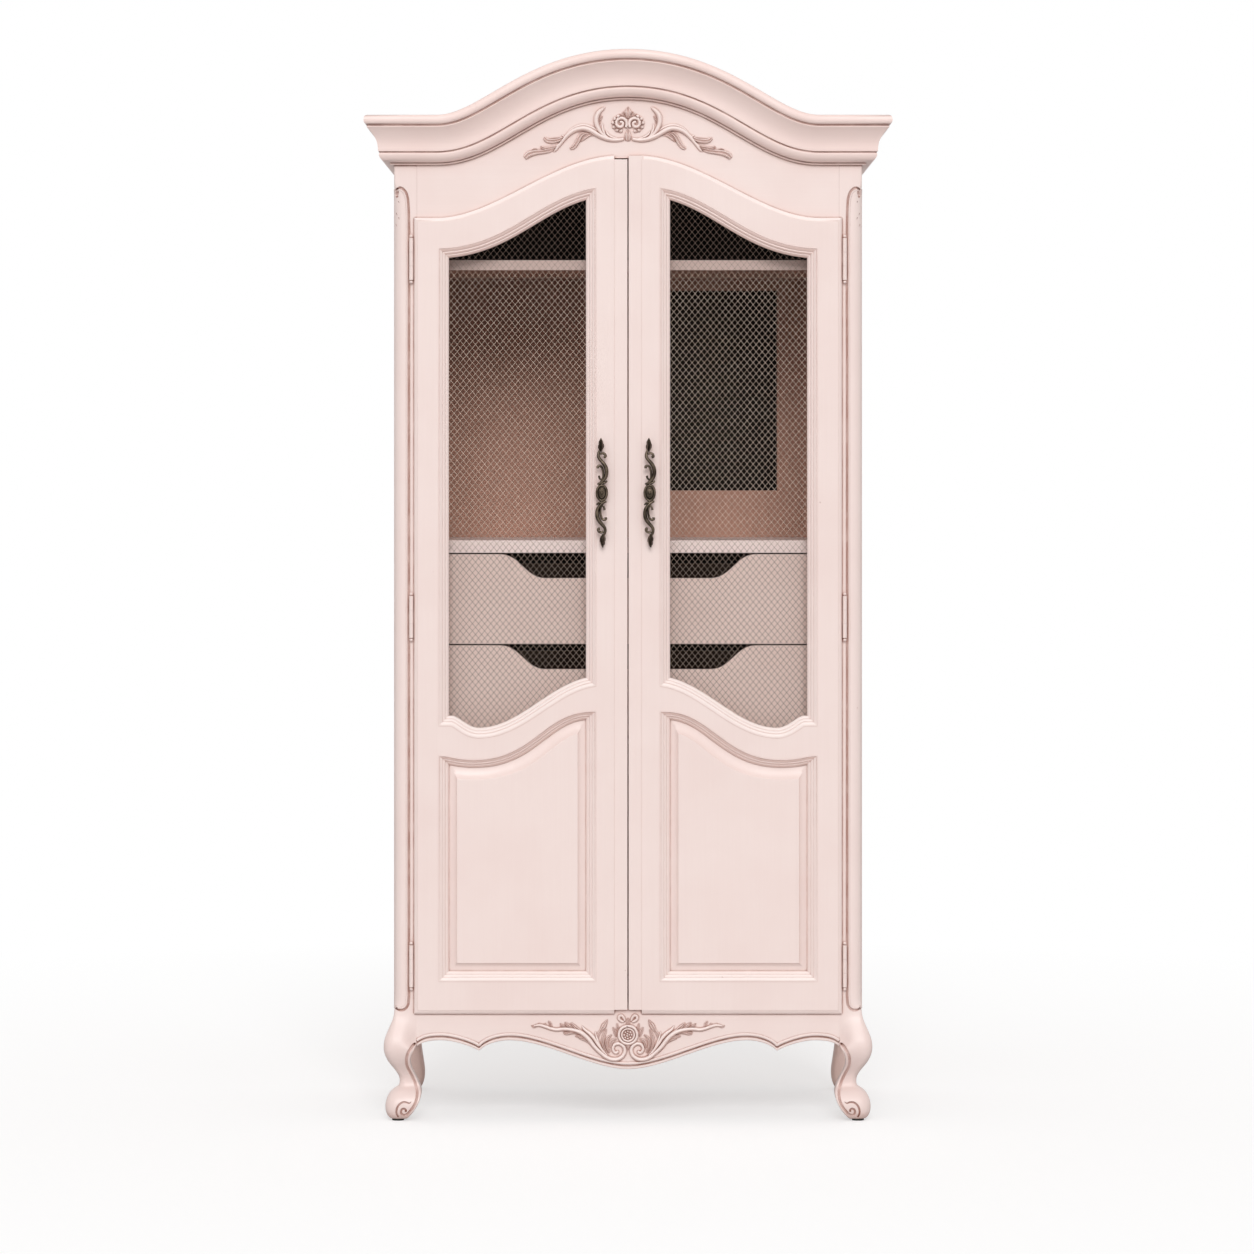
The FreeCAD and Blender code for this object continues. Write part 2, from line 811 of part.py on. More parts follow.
# Cornice

def cornice_profile(sign_x, out_x, z0):
    """The cornice's section: a bed bead, a fascia, a cove and a fat top bead."""
    wide = float(cell("cornice_projection"))
    tall = float(cell("cornice_height"))

    def at(out, up):
        return (float(out_x) + sign_x * out * wide, float(z0) + up * tall)

    path = Path(*at(0.0, 0.0)).line(*at(0.17, 0.0)).line(*at(0.17, 0.03)).line(*at(0.26, 0.04))
    path.arc(at(0.47, 0.08), at(0.52, 0.17)).line(*at(0.52, 0.23)).line(*at(0.57, 0.25))
    path.line(*at(0.58, 0.44)).arc(at(0.64, 0.61), at(0.82, 0.73)).line(*at(0.86, 0.76))
    path.arc(at(1.0, 0.87), at(0.86, 0.98)).line(*at(0.62, 0.98)).line(*at(0.62, 1.0))
    return path.line(*at(0.0, 1.0)).close()


def mitre(name, turn, side):
    """The corner block that leaves a mitred end, turned about the corner of the body."""
    reach = 2 * cell("cornice_projection")
    block = doc.addObject("Part::Box", name)
    block.Placement = Placement(Vector(), Rotation(Vector(0, 0, 1), turn))
    bind(block, "Length", reach)
    bind(block, "Width", reach)
    bind(block, "Height", 2 * cell("cornice_height"))
    bind(block, "Placement.Base.x", side * half_body)
    bind(block, "Placement.Base.y", front)
    bind(block, "Placement.Base.z", cornice_base - cell("cornice_height") / 2)
    return block


cornice_body = doc.addObject("PartDesign::Body", "cornice_sweep")
left_line = cornice_line()
spine = Path(-cornice_end, cornice_base).curve(left_line).curve(flipped(left_line))
spine.line(cornice_end, cornice_base)
cornice_spine = sketch_on(cornice_body, "XZ_Plane", spine)
cornice_section = sketch_on(cornice_body, "YZ_Plane", cornice_profile(-1, 0.0, cornice_base), -cornice_end)
sweep = cornice_body.newObject("PartDesign::AdditivePipe", "cornice_pipe")
sweep.Profile = cornice_section
sweep.Spine = (cornice_spine, [f"Edge{number + 1}" for number in range(len(spine.parts))])
sweep.Mode = "Binormal"
sweep.Binormal = Vector(0, 1, 0)
bind(cornice_body, "Placement.Base.y", front)
keep(
    cut("cornice_front", cornice_body, mitre("left_mitre", 135, -1), mitre("right_mitre", -45, 1)),
    "cornice_front",
)

return_body = doc.addObject("PartDesign::Body", "cornice_return")
return_start = front - cell("cornice_projection")
return_path = cornice_profile(-1, -half_body, cornice_base)
pad(return_body, "XZ_Plane", return_path, rear - return_start, back=True)
bind(return_body, "Placement.Base.y", return_start)
left_return = keep(cut("cornice_left", return_body, mitre("return_mitre", 225, -1)), "cornice_left")
keep(mirrored("cornice_right", left_return), "cornice_right")


# Shelf and drawer case

shelf_base = sill + cell("shelf_height")
case_ceiling = sill + cell("case_height")
drawer_top = [case_ceiling - cell("drawer_gap")]
drawer_top.append(drawer_top[0] - cell("drawer_height") - cell("drawer_gap"))
case_floor = drawer_top[1] - cell("drawer_height") - cell("drawer_gap")
full_board = notched(board_front, back_front, inside)
keep(lying("top_shelf", full_board, shelf_base, cell("shelf_thick")), "top_shelf")
full_board = notched(board_front, back_front, inside)
keep(lying("drawer_case_top", full_board, case_ceiling, cell("case_top_thick")), "drawer_case_top")
full_board = notched(board_front, back_front, inside)
case_base = case_floor - cell("case_bottom_thick")
keep(lying("drawer_case_bottom", full_board, case_base, cell("case_bottom_thick")), "drawer_case_bottom")

cheek_inner = half_opening - cell("case_side_thick")
cheek_y = (board_front, rear_post_front)
cheek = box("case_cheek", (cheek_inner, half_opening), cheek_y, (case_floor, case_ceiling))
keep(group("drawer_case_sides", cheek, mirrored("case_cheek_left", cheek)), "drawer_case_sides")

cleats = []
for level in (shelf_base, case_ceiling, case_base):
    cleat_x = (inside - cell("cleat_size"), inside)
    cleat = box("cleat", cleat_x, (board_front, rear_post_front), (level - cell("cleat_size"), level))
    cleats += [cleat, mirrored("cleat_left", cleat)]
keep(group("shelf_cleats", *cleats), "shelf_cleats")


# Drawers

half_drawer = cheek_inner - cell("drawer_side_gap")
drawer_back = rear_post_front - cell("drawer_rear_gap")
side_front = board_front + cell("drawer_front_thick")
side_inner = half_drawer - cell("drawer_side_thick")
bite = cell("runner_bite")
slack = cell("runner_clearance")
runner_y = (side_front + cell("runner_inset"), drawer_back)


def scooped_front(top):
    """A drawer front with the wide hand scoop in its upper edge."""
    base = float(top - cell("drawer_height"))
    wide = float(cell("scoop_width")) / 2
    flat = float(cell("scoop_flat")) / 2
    low = float(top - cell("scoop_depth"))
    dip = s_curve(-wide, float(top), -flat, low, 0.45, 0.45)
    path = Path(-half_drawer, base).line(half_drawer, base).line(half_drawer, top)
    path.line(wide, top).curve([(-x, z) for x, z in dip]).line(-flat, low)
    return path.curve(backwards(dip)).line(-half_drawer, top).close()


runners = []
for label, top in zip(("upper", "lower"), drawer_top):
    base = top - cell("drawer_height")
    front_board = (scooped_front(top), 0.0, cell("drawer_front_thick"))
    keep(facing(f"{label}_drawer_front", front_board, y=board_front), f"{label}_drawer_front")
    middle = base + cell("drawer_height") / 2
    half_runner = cell("runner_height") / 2
    side_z = (base, top - cell("drawer_side_drop"))
    side_board = box(f"{label}_side_board", (side_inner, half_drawer), (side_front, drawer_back), side_z)
    slot_z = (middle - half_runner - slack, middle + half_runner + slack)
    slot_x = (half_drawer - bite - slack, half_drawer)
    slot = box(f"{label}_slot", slot_x, (runner_y[0] - slack, drawer_back), slot_z)
    right_side = cut(f"{label}_right_side", side_board, slot)
    left_side = mirrored(f"{label}_left_side", right_side)
    wall = cell("drawer_side_thick")
    wall_y = (drawer_back - wall, drawer_back)
    rear_wall = box(f"{label}_rear_wall", (-side_inner, side_inner), wall_y, side_z)
    lift = base + cell("drawer_bottom_lift")
    floor_z = (lift, lift + cell("drawer_bottom_thick"))
    floor_y = (side_front, drawer_back - wall)
    floor_board = box(f"{label}_floor", (-side_inner, side_inner), floor_y, floor_z)
    keep(group(f"{label}_drawer_box", right_side, left_side, rear_wall, floor_board), f"{label}_drawer_box")
    runner_z = (middle - half_runner, middle + half_runner)
    runner = box(f"{label}_runner", (half_drawer - bite, cheek_inner), runner_y, runner_z)
    runners += [runner, mirrored(f"{label}_runner_left", runner)]
keep(group("drawer_runners", *runners), "drawer_runners")


# Doors: the left door is drawn, and the right door mirrors it

door_side_top = spring + lip
door_crown = door_side_top + cell("opening_rise")
rail_top_low = door_side_top - cell("top_rail_height")
rail_bottom_top = door_base + cell("bottom_rail_height")
mid_low = sill + cell("mid_rail_base")
mid_high = mid_low + cell("mid_rail_rise")


def door_top(drop=0.0):
    """The door's arched head, parallel to the head of the opening."""
    return raised(opening_top(drop), float(lip))


def inset_top():
    """The head of the door's inner layer, which clears the opening."""
    return opening_top(float(cell("inset_clearance")))


def mesh_head():
    """The curve under the top rail."""
    x0 = float(frame_left) - 10
    x1 = float(lip_inner)
    return s_curve(x0, float(rail_top_low), x1, float(rail_top_low + cell("top_rail_rise")), 0.45, 0.35)


def mesh_sill():
    """The curves over the mid rail: an ear, a trough and a rise towards the meeting stile."""
    left = float(frame_left)
    ear_x = left + float(cell("mid_rail_ear_width"))
    trough_x = left + float(cell("mid_rail_trough"))
    neck = float(mid_low + cell("mid_rail_neck"))
    ear = neck + float(cell("mid_rail_ear"))
    crest = float(mid_low + cell("mid_rail_crest"))
    return [
        s_curve(ear_x, ear, trough_x, neck, 0.15, 0.5),
        s_curve(trough_x, neck, float(frame_right) + 16, crest, 0.38, 0.36),
    ]


def panel_head():
    """The curve under the mid rail."""
    x0 = float(frame_left) - 4
    return s_curve(x0, float(mid_low), float(frame_right) + 6, float(mid_high), 0.45, 0.36)


def mesh_outline(inset=0.0):
    """The upper opening drawn in by some distance, anticlockwise from halfway up its left side."""
    x0, x1 = float(frame_left) + inset, float(frame_right) - inset
    half_way = float(mid_high + rail_top_low) / 2
    head = clip(parallel(mesh_head(), -inset), x0, x1)
    ear, rise = (parallel(poles, inset) for poles in mesh_sill())
    path = Path(x0, half_way).line(x0, ear[0][1]).curve(ear).curve(clip(rise, x0, x1))
    path.line(x1, head[3][1]).curve(backwards(head))
    return path.close()


def panel_outline(inset=0.0):
    """The lower opening drawn in by some distance, anticlockwise from halfway up its left side."""
    x0, x1 = float(frame_left) + inset, float(frame_right) - inset
    half_way = float(mid_low + rail_bottom_top) / 2
    head = clip(parallel(panel_head(), -inset), x0, x1)
    path = Path(x0, half_way).line(x0, float(rail_bottom_top) + inset)
    path.line(x1, float(rail_bottom_top) + inset).line(x1, head[3][1]).curve(backwards(head))
    return path.close()


def layered(name, lip_path, inset_path):
    """A door member with a proud lip layer and an inner layer that enters the opening."""
    layers = ((lip_path, 0.0, cell("lip_thick")), (inset_path, cell("lip_thick"), cell("inset_thick")))
    return facing(name, *layers, y=door_face)


def ease_lip(body, low, high):
    """Rounds a door member's front edges between two heights, except at its joints."""
    doc.recompute()
    joints = (float(frame_left), float(frame_right))
    edges = []
    for number, edge in enumerate(body.Tip.Shape.Edges, start=1):
        limits = edge.BoundBox
        on_front = abs(limits.YMin) + abs(limits.YMax) < 1e-4
        on_joint = any(abs(limits.XMin - x) + abs(limits.XMax - x) < 1e-4 for x in joints)
        if on_front and not on_joint and limits.ZMin > float(low) - 1 and limits.ZMax < float(high) + 1:
            edges.append(f"Edge{number}")
    lip_body = body.Tip
    fillet = body.newObject("PartDesign::Fillet", f"{body.Name}_ease")
    fillet.Base = (lip_body, edges)
    bind(fillet, "Radius", cell("lip_round"))
    return body


def hinge_stile_outline(outer, base, head, side_top):
    """The stile at the hinges, with its head following the arch."""
    path = Path(outer, base).line(frame_left, base)
    if head[0][0] < float(frame_left):
        path.curve(backwards(clip(head, head[0][0], float(frame_left))))
    else:
        path.line(frame_left, side_top)
    return path.line(outer, side_top).close()


def between_stiles(low, high):
    """A rail's outline between two curves."""
    x0, x1 = float(frame_left), float(frame_right)
    high = clip(high, x0, x1)
    path = Path(x0, low[0][0][1])
    for poles in low:
        path.curve(clip(poles, x0, x1))
    path.line(x1, high[3][1]).curve(backwards(high))
    return path.line(x0, high[0][1]).close()


def meeting_outline(inner, base, head):
    """The stile where the doors meet."""
    piece = clip(head, float(frame_right), min(float(inner), head[3][0]))
    path = Path(frame_right, base).line(inner, base).line(inner, piece[3][1])
    return path.curve(backwards(piece)).close()


door_tenon_y = (
    door_face + (door_thick - cell("tenon_thick")) / 2,
    door_face + (door_thick + cell("tenon_thick")) / 2,
)
left_tenon_x = (frame_left - reach, frame_left)
right_tenon_x = (frame_right, frame_right + reach)
top_rail_head = rail_top_low + cell("top_rail_rise")
door_tenons = {
    "top": (
        (rail_top_low + shoulder, door_side_top - 2 * shoulder),
        (top_rail_head + shoulder / 2, door_side_top + cell("opening_rise") - 2 * shoulder),
    ),
    "mid": (
        (mid_low + shoulder, mid_low + cell("mid_rail_neck") + shoulder / 2),
        (mid_high + shoulder, mid_low + cell("mid_rail_crest") - shoulder),
    ),
    "bottom": (
        (door_base + 2 * shoulder, rail_bottom_top - shoulder),
        (door_base + 2 * shoulder, rail_bottom_top - shoulder),
    ),
}


def door_tongues(side, tag):
    """The tongues of the three rails that enter one stile."""
    spans = left_tenon_x if side == 0 else right_tenon_x
    return {
        rail: box(f"{rail}_{tag}", spans, door_tenon_y, limits[side])
        for rail, limits in door_tenons.items()
    }


hinge_heights = [sill + cell(f"hinge_{level}") for level in ("low", "middle", "high")]
half_hinge = cell("knuckle_length") * 1.5
leaf = cell("leaf_thick")
leaf_gap = cell("leaf_gap")
frame_leaf_y = (front - leaf_gap - leaf, front - leaf_gap)
door_leaf_y = (frame_leaf_y[0] - leaf_gap - leaf, frame_leaf_y[0] - leaf_gap)
frame_leaf_x = (-half_opening, leaf - half_opening)
door_leaf_x = (inset_outer - leaf, inset_outer)


def hinge_recess(number, height):
    """The shallow housing behind the lip for one hinge's leaves."""
    span = (height - half_hinge - leaf_gap, height + half_hinge + leaf_gap)
    depth = (door_leaf_y[0] - leaf_gap, lip_back)
    return box(f"hinge_recess_{number}", (door_outer, inset_outer), depth, span)


left_stile_tongues = door_tongues(0, "hinge_mortise")
recesses = [hinge_recess(number, height) for number, height in enumerate(hinge_heights)]
stile_blank = layered(
    "hinge_stile_blank",
    hinge_stile_outline(door_outer, door_base, door_top(), door_side_top),
    hinge_stile_outline(inset_outer, inset_base, inset_top(), spring - cell("inset_clearance")),
)
ease_lip(stile_blank, door_base, door_crown)
hinge_stile = cut("left_door_hinge_stile", stile_blank, *left_stile_tongues.values(), *recesses)
meeting_blank = layered(
    "meeting_stile_blank",
    meeting_outline(lip_inner, door_base, door_top()),
    meeting_outline(door_inner, inset_base, inset_top()),
)
ease_lip(meeting_blank, door_base, door_crown)
meeting_stile = cut("left_door_meeting_stile", meeting_blank, *door_tongues(1, "meeting_mortise").values())

rail_left = door_tongues(0, "left_tongue")
rail_right = door_tongues(1, "right_tongue")
head_curve = [clip(mesh_head(), float(frame_left), float(frame_right))]
top_blank = layered(
    "top_rail_blank", between_stiles(head_curve, door_top()), between_stiles(head_curve, inset_top())
)
ease_lip(top_blank, door_side_top, door_crown)
left_edge = (float(frame_left), float(mid_low))
mid_path = Path(*left_edge).curve(clip(panel_head(), float(frame_left), float(frame_right)))
ear_curve, rise_curve = mesh_sill()
rise_curve = clip(rise_curve, float(frame_left), float(frame_right))
mid_path.line(frame_right, rise_curve[3][1]).curve(backwards(rise_curve)).curve(backwards(ear_curve))
mid_path.line(frame_left, ear_curve[0][1]).close()
mid_blank = facing("mid_rail_blank", (mid_path, 0.0, door_thick), y=door_face)
bottom_blank = layered(
    "bottom_rail_blank",
    rectangle(frame_left, frame_right, door_base, rail_bottom_top),
    rectangle(frame_left, frame_right, inset_base, rail_bottom_top),
)
ease_lip(bottom_blank, door_base, door_base)

# Mouldings, wire sheet and raised panel

# The moulding's section from the stile to the sight edge: each point is a share of
# its width and a share of its depth.
MOULDING_STEPS = [(0.12, 0.0), (0.42, 0.1), (0.6, 0.4), (0.72, 0.46), (0.9, 0.6), (1.0, 0.85), (1.0, 1.0)]


def ring_at(outline, inset, depth):
    """An outline drawn in by some distance and set some way behind the door's face."""
    ring = outline(inset).wire()
    ring.translate(Vector(0, depth, 0))
    return ring


def moulding_frame(name, outline):
    """A mitred moulding round one opening: a flat frame with a stepped funnel taken out."""
    wide = float(cell("moulding_width"))
    deep = float(cell("moulding_depth"))
    shape = Part.Face(ring_at(outline, 0.0, 0.0)).extrude(Vector(0, deep, 0))
    for outer, inner in zip(MOULDING_STEPS, MOULDING_STEPS[1:]):
        rings = [ring_at(outline, across * wide, depth * deep) for across, depth in (outer, inner)]
        shape = shape.cut(Part.makeLoft(rings, True, True))
    shape.translate(Vector(0, float(door_face), 0))
    frame = doc.addObject("Part::Feature", name)
    frame.Shape = shape.Solids[0]
    return frame


mesh_moulding = moulding_frame("mesh_moulding", mesh_outline)
panel_moulding = moulding_frame("panel_moulding", panel_outline)
sheet_y = door_face + cell("moulding_depth")
margin = float(cell("sheet_margin"))
# The woven wire stands here as a plain grid, with so many openings across and up
MESH_COLUMNS = 6
MESH_ROWS = 22


def wire_grid():
    """The wire as a grid: a rim behind the moulding, and bars between the openings."""
    through = Vector(0, float(cell("mesh_thick")), 0)
    window = Part.Face(mesh_outline(float(cell("mesh_rim"))).wire()).extrude(through)
    room = window.BoundBox
    bar = float(cell("mesh_bar"))
    bars = []
    for number in range(1, MESH_COLUMNS):
        x = room.XMin + number * room.XLength / MESH_COLUMNS - bar / 2
        bars.append(Part.makeBox(bar, through.y, room.ZLength, Vector(x, room.YMin, room.ZMin)))
    for number in range(1, MESH_ROWS):
        z = room.ZMin + number * room.ZLength / MESH_ROWS - bar / 2
        bars.append(Part.makeBox(room.XLength, through.y, bar, Vector(room.XMin, room.YMin, z)))
    sheet = Part.Face(mesh_outline(margin).wire()).extrude(through)
    grid = sheet.cut(window.cut(bars))
    grid.translate(Vector(0, float(sheet_y), 0))
    return grid.Solids[0]


wire_sheet = doc.addObject("Part::Feature", "mesh_grid")
wire_sheet.Shape = wire_grid()


def fielded_panel():
    """The lower panel: a flat tongue behind the moulding and a bevelled field in front."""
    plate = Part.Face(panel_outline(margin).wire())
    base = plate.extrude(Vector(0, float(cell("panel_thick")), 0))
    foot_inset = float(cell("moulding_width")) + margin
    foot = ring_at(panel_outline, foot_inset, 0.0)
    field = ring_at(panel_outline, foot_inset + float(cell("panel_bevel")), -float(cell("panel_rise")))
    bevel = Part.makeLoft([foot, field], True, True)
    whole = base.fuse(bevel).removeSplitter().Solids[0]
    whole.translate(Vector(0, float(sheet_y), 0))
    return whole


raised_panel = doc.addObject("Part::Feature", "fielded_panel")
raised_panel.Shape = fielded_panel()


# Hinges

def barrel(name, z):
    """One knuckle of a hinge."""
    shell = upright(f"{name}_shell", cell("knuckle_radius"), axis_x, axis_y, z)
    bore = upright(f"{name}_bore", cell("pin_radius") + cell("pin_clearance"), axis_x, axis_y, z)
    return cut(name, shell, bore)


knuckle = cell("knuckle_length")
bridge_x = (axis_x + cell("pin_radius") + 2 * cell("pin_clearance"), axis_x + cell("knuckle_radius"))
frame_leaves = []
door_leaves = []
pins = []
for number, height in enumerate(hinge_heights):
    full = (height - half_hinge, height + half_hinge)
    inner = (height - knuckle / 2 + cell("knuckle_gap"), height + knuckle / 2 - cell("knuckle_gap"))
    pieces = []
    for end, span in (("low", (full[0], full[0] + knuckle)), ("high", (full[1] - knuckle, full[1]))):
        pieces.append(barrel(f"frame_knuckle_{number}_{end}", span))
        pieces.append(box(f"frame_bridge_{number}_{end}", bridge_x, (axis_y, frame_leaf_y[1]), span))
        pieces.append(box(f"frame_tab_{number}_{end}", (bridge_x[0], frame_leaf_x[1]), frame_leaf_y, span))
    plate_y = (frame_leaf_y[0], front + cell("leaf_reach"))
    pieces.append(box(f"frame_plate_{number}", frame_leaf_x, plate_y, full))
    frame_leaves.append(fuse(f"frame_leaf_{number}", *pieces))
    plate_x = (door_leaf_x[0], inset_outer + cell("leaf_reach"))
    pieces = [
        barrel(f"door_knuckle_{number}", inner),
        box(f"door_bridge_{number}", bridge_x, (axis_y, door_leaf_y[1]), inner),
        box(f"door_tab_{number}", (bridge_x[0], door_leaf_x[1]), door_leaf_y, inner),
        box(f"door_edge_{number}", door_leaf_x, (door_leaf_y[0], door_back + leaf), full),
        box(f"door_plate_{number}", plate_x, (door_back, door_back + leaf), full),
    ]
    door_leaves.append(fuse(f"door_leaf_{number}", *pieces))
    tip = cell("tip_radius") + cell("knuckle_gap")
    rod = upright(f"pin_rod_{number}", cell("pin_radius"), axis_x, axis_y, (full[0] - tip, full[1] + tip))
    tips = [
        ball(f"pin_tip_{number}_{end}", cell("tip_radius"), axis_x, axis_y, z)
        for end, z in (("low", full[0] - tip), ("high", full[1] + tip))
    ]
    pins.append(fuse(f"pin_{number}", rod, *tips))


# Handles: both doors carry the same casting, not a mirrored one

def handle(name, x):
    """A cast scroll pull: a swaying rod on two posts, with a boss in the middle."""
    centre = sill + cell("handle_height")
    half = cell("handle_length") / 2 - cell("boss_radius")
    rod_y = door_face - cell("handle_stand")
    sway = float(cell("handle_sway"))
    tall = float(half)
    body = doc.addObject("PartDesign::Body", f"{name}_rod")
    poles = [(0.0, -tall), (3 * sway, -tall * 0.3), (-3 * sway, tall * 0.3), (0.0, tall)]
    route = Path(*poles[0]).curve(poles)
    spine = sketch_on(body, "XZ_Plane", route)
    ring = sketch_on(body, "XY_Plane", Path(0, 0), -half)
    ring.addGeometry(Part.Circle(Vector(0, 0, 0), Vector(0, 0, 1), float(cell("handle_rod"))))
    tube = body.newObject("PartDesign::AdditivePipe", f"{name}_pipe")
    tube.Profile = ring
    tube.Spine = (spine, ["Edge1"])
    for axis, place in zip("xyz", (x, rod_y, centre)):
        bind(body, f"Placement.Base.{axis}", place)
    boss = ball(f"{name}_boss", cell("boss_radius"), x, rod_y, centre)
    ends = []
    for end, z in (("low", centre - half), ("high", centre + half)):
        ends.append(ball(f"{name}_leaf_{end}", cell("boss_radius") * 0.8, x, rod_y, z))
        ends.append(along_y(f"{name}_post_{end}", cell("handle_rod"), x, (rod_y, door_face), z))
    return fuse(name, body, boss, *ends)


stile_middle = frame_right + cell("meeting_stile_width") / 2
handle_shift = cell("handle_sway") / 2

# Both doors are gathered here

left_pieces = {
    "hinge_stile": hinge_stile,
    "meeting_stile": meeting_stile,
    "top_rail": fuse("left_door_top_rail", top_blank, rail_left["top"], rail_right["top"]),
    "mid_rail": fuse("left_door_mid_rail", mid_blank, rail_left["mid"], rail_right["mid"]),
    "bottom_rail": fuse("left_door_bottom_rail", bottom_blank, rail_left["bottom"], rail_right["bottom"]),
    "mesh_moulding": mesh_moulding,
    "panel_moulding": panel_moulding,
    "raised_panel": raised_panel,
    "wire_mesh": wire_sheet,
    "hinge_leaves": group("left_door_hinge_leaves", *door_leaves),
}
for name, piece in left_pieces.items():
    keep(piece, f"left_door_{name}")
    keep(mirrored(f"right_door_{name}", piece), f"right_door_{name}")
keep(handle("left_door_handle", stile_middle - handle_shift), "left_door_handle")
keep(handle("right_door_handle", -stile_middle - handle_shift), "right_door_handle")
right_leaves = [mirrored("frame_leaf_right", item) for item in frame_leaves]
keep(group("hinge_frame_leaves", *frame_leaves, *right_leaves), "hinge_frame_leaves")
right_pins = [mirrored("pin_right", item) for item in pins]
keep(group("hinge_pins", *pins, *right_pins), "hinge_pins")


# Applied carvings, as plain low relief

def spray(half, tall, base, hang):
    """A leafy spray: a tall middle and two branches that sweep out to points."""
    h, t, z = float(half), float(tall), float(base)
    tip = z + (0.0 if hang else 0.3 * t)
    foot = z + (0.35 * t if hang else 0.0)
    shoulder_at = (-0.14 * h, z + 0.75 * t)
    elbow = (-0.55 * h, tip + 0.35 * t)
    left = [
        [(0.0, z + t), (-0.06 * h, z + 0.95 * t), (-0.1 * h, z + 0.8 * t), shoulder_at],
        [shoulder_at, (-0.3 * h, z + 0.95 * t), (-0.4 * h, z + 0.6 * t), elbow],
        [elbow, (-0.7 * h, tip + 0.25 * t), (-0.85 * h, tip + 0.1 * t), (-h, tip)],
        [(-h, tip), (-0.7 * h, tip + 0.02 * t), (-0.3 * h, foot + 0.3 * t), (-0.12 * h, foot)],
    ]
    path = Path(0.0, z + t)
    for poles in left:
        path.curve(poles)
    path.line(0.12 * h, foot)
    for poles in reversed(left):
        path.curve(flipped(poles))
    return path


def carving(name, path):
    """An applied ornament that lies on the face of the frame."""
    return keep(facing(name, (path, 0.0, cell("carving_thick")), y=front - cell("carving_thick")), name)


frieze_spray = spray(
    cell("frieze_carving_half"), cell("frieze_carving_height"), spring + cell("frieze_carving_base"), True
)
carving("frieze_carving", frieze_spray)
apron_spray = spray(
    cell("apron_carving_half"), cell("apron_carving_height"), sill - cell("apron_carving_base"), False
)
carving("apron_carving", apron_spray)

doc.recompute()
faults = [item.Label for item in doc.Objects if {"Invalid", "Error"} & set(item.State)]
for item in finished:
    if item.Shape.isNull() or not item.Shape.isValid() or not item.Shape.Solids:
        faults.append(item.Label)
if faults:
    raise RuntimeError(f"pieces that failed: {faults}")

os.makedirs("parts", exist_ok=True)
for item in finished:
    item.Shape.exportStep(f"parts/{item.Label}.step")
print(f"{len(finished)} pieces written")
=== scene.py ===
"""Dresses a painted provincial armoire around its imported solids."""

import json
import logging
import math
from collections.abc import Callable
from dataclasses import dataclass
from enum import Enum
from functools import cache

import bmesh
import bpy
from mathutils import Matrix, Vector


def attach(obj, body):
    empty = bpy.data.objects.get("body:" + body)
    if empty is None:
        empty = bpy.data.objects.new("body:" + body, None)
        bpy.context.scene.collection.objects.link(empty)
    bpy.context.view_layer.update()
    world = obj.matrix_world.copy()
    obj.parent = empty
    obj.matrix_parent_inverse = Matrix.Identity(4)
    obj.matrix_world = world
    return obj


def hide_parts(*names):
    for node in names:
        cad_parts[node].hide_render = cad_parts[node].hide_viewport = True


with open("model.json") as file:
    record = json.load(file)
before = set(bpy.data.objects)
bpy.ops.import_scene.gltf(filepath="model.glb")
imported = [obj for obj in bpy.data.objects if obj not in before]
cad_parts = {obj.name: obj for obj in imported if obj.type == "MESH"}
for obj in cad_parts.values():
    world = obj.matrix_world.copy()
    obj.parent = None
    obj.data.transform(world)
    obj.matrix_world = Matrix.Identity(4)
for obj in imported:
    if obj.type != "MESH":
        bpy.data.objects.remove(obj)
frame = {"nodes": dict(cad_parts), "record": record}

log = logging.getLogger("armoire")
Point = tuple[float, float]
Colour = tuple[float, float, float]
WHOLE: Point = (0.0, 1.0)
CLOUDS: Point = (0.3, 0.7)
PATCHES: Point = (0.35, 0.7)
NODES: dict[str, bpy.types.Object] = frame["nodes"]
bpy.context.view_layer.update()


class Grain(Enum):
    """The way a brush was drawn over a piece: the noise's scale along X, Y and Z."""

    UPRIGHT = (260.0, 260.0, 5.0)
    ACROSS = (5.0, 260.0, 260.0)
    DEEP = (260.0, 5.0, 260.0)
    CARVED = (90.0, 90.0, 90.0)


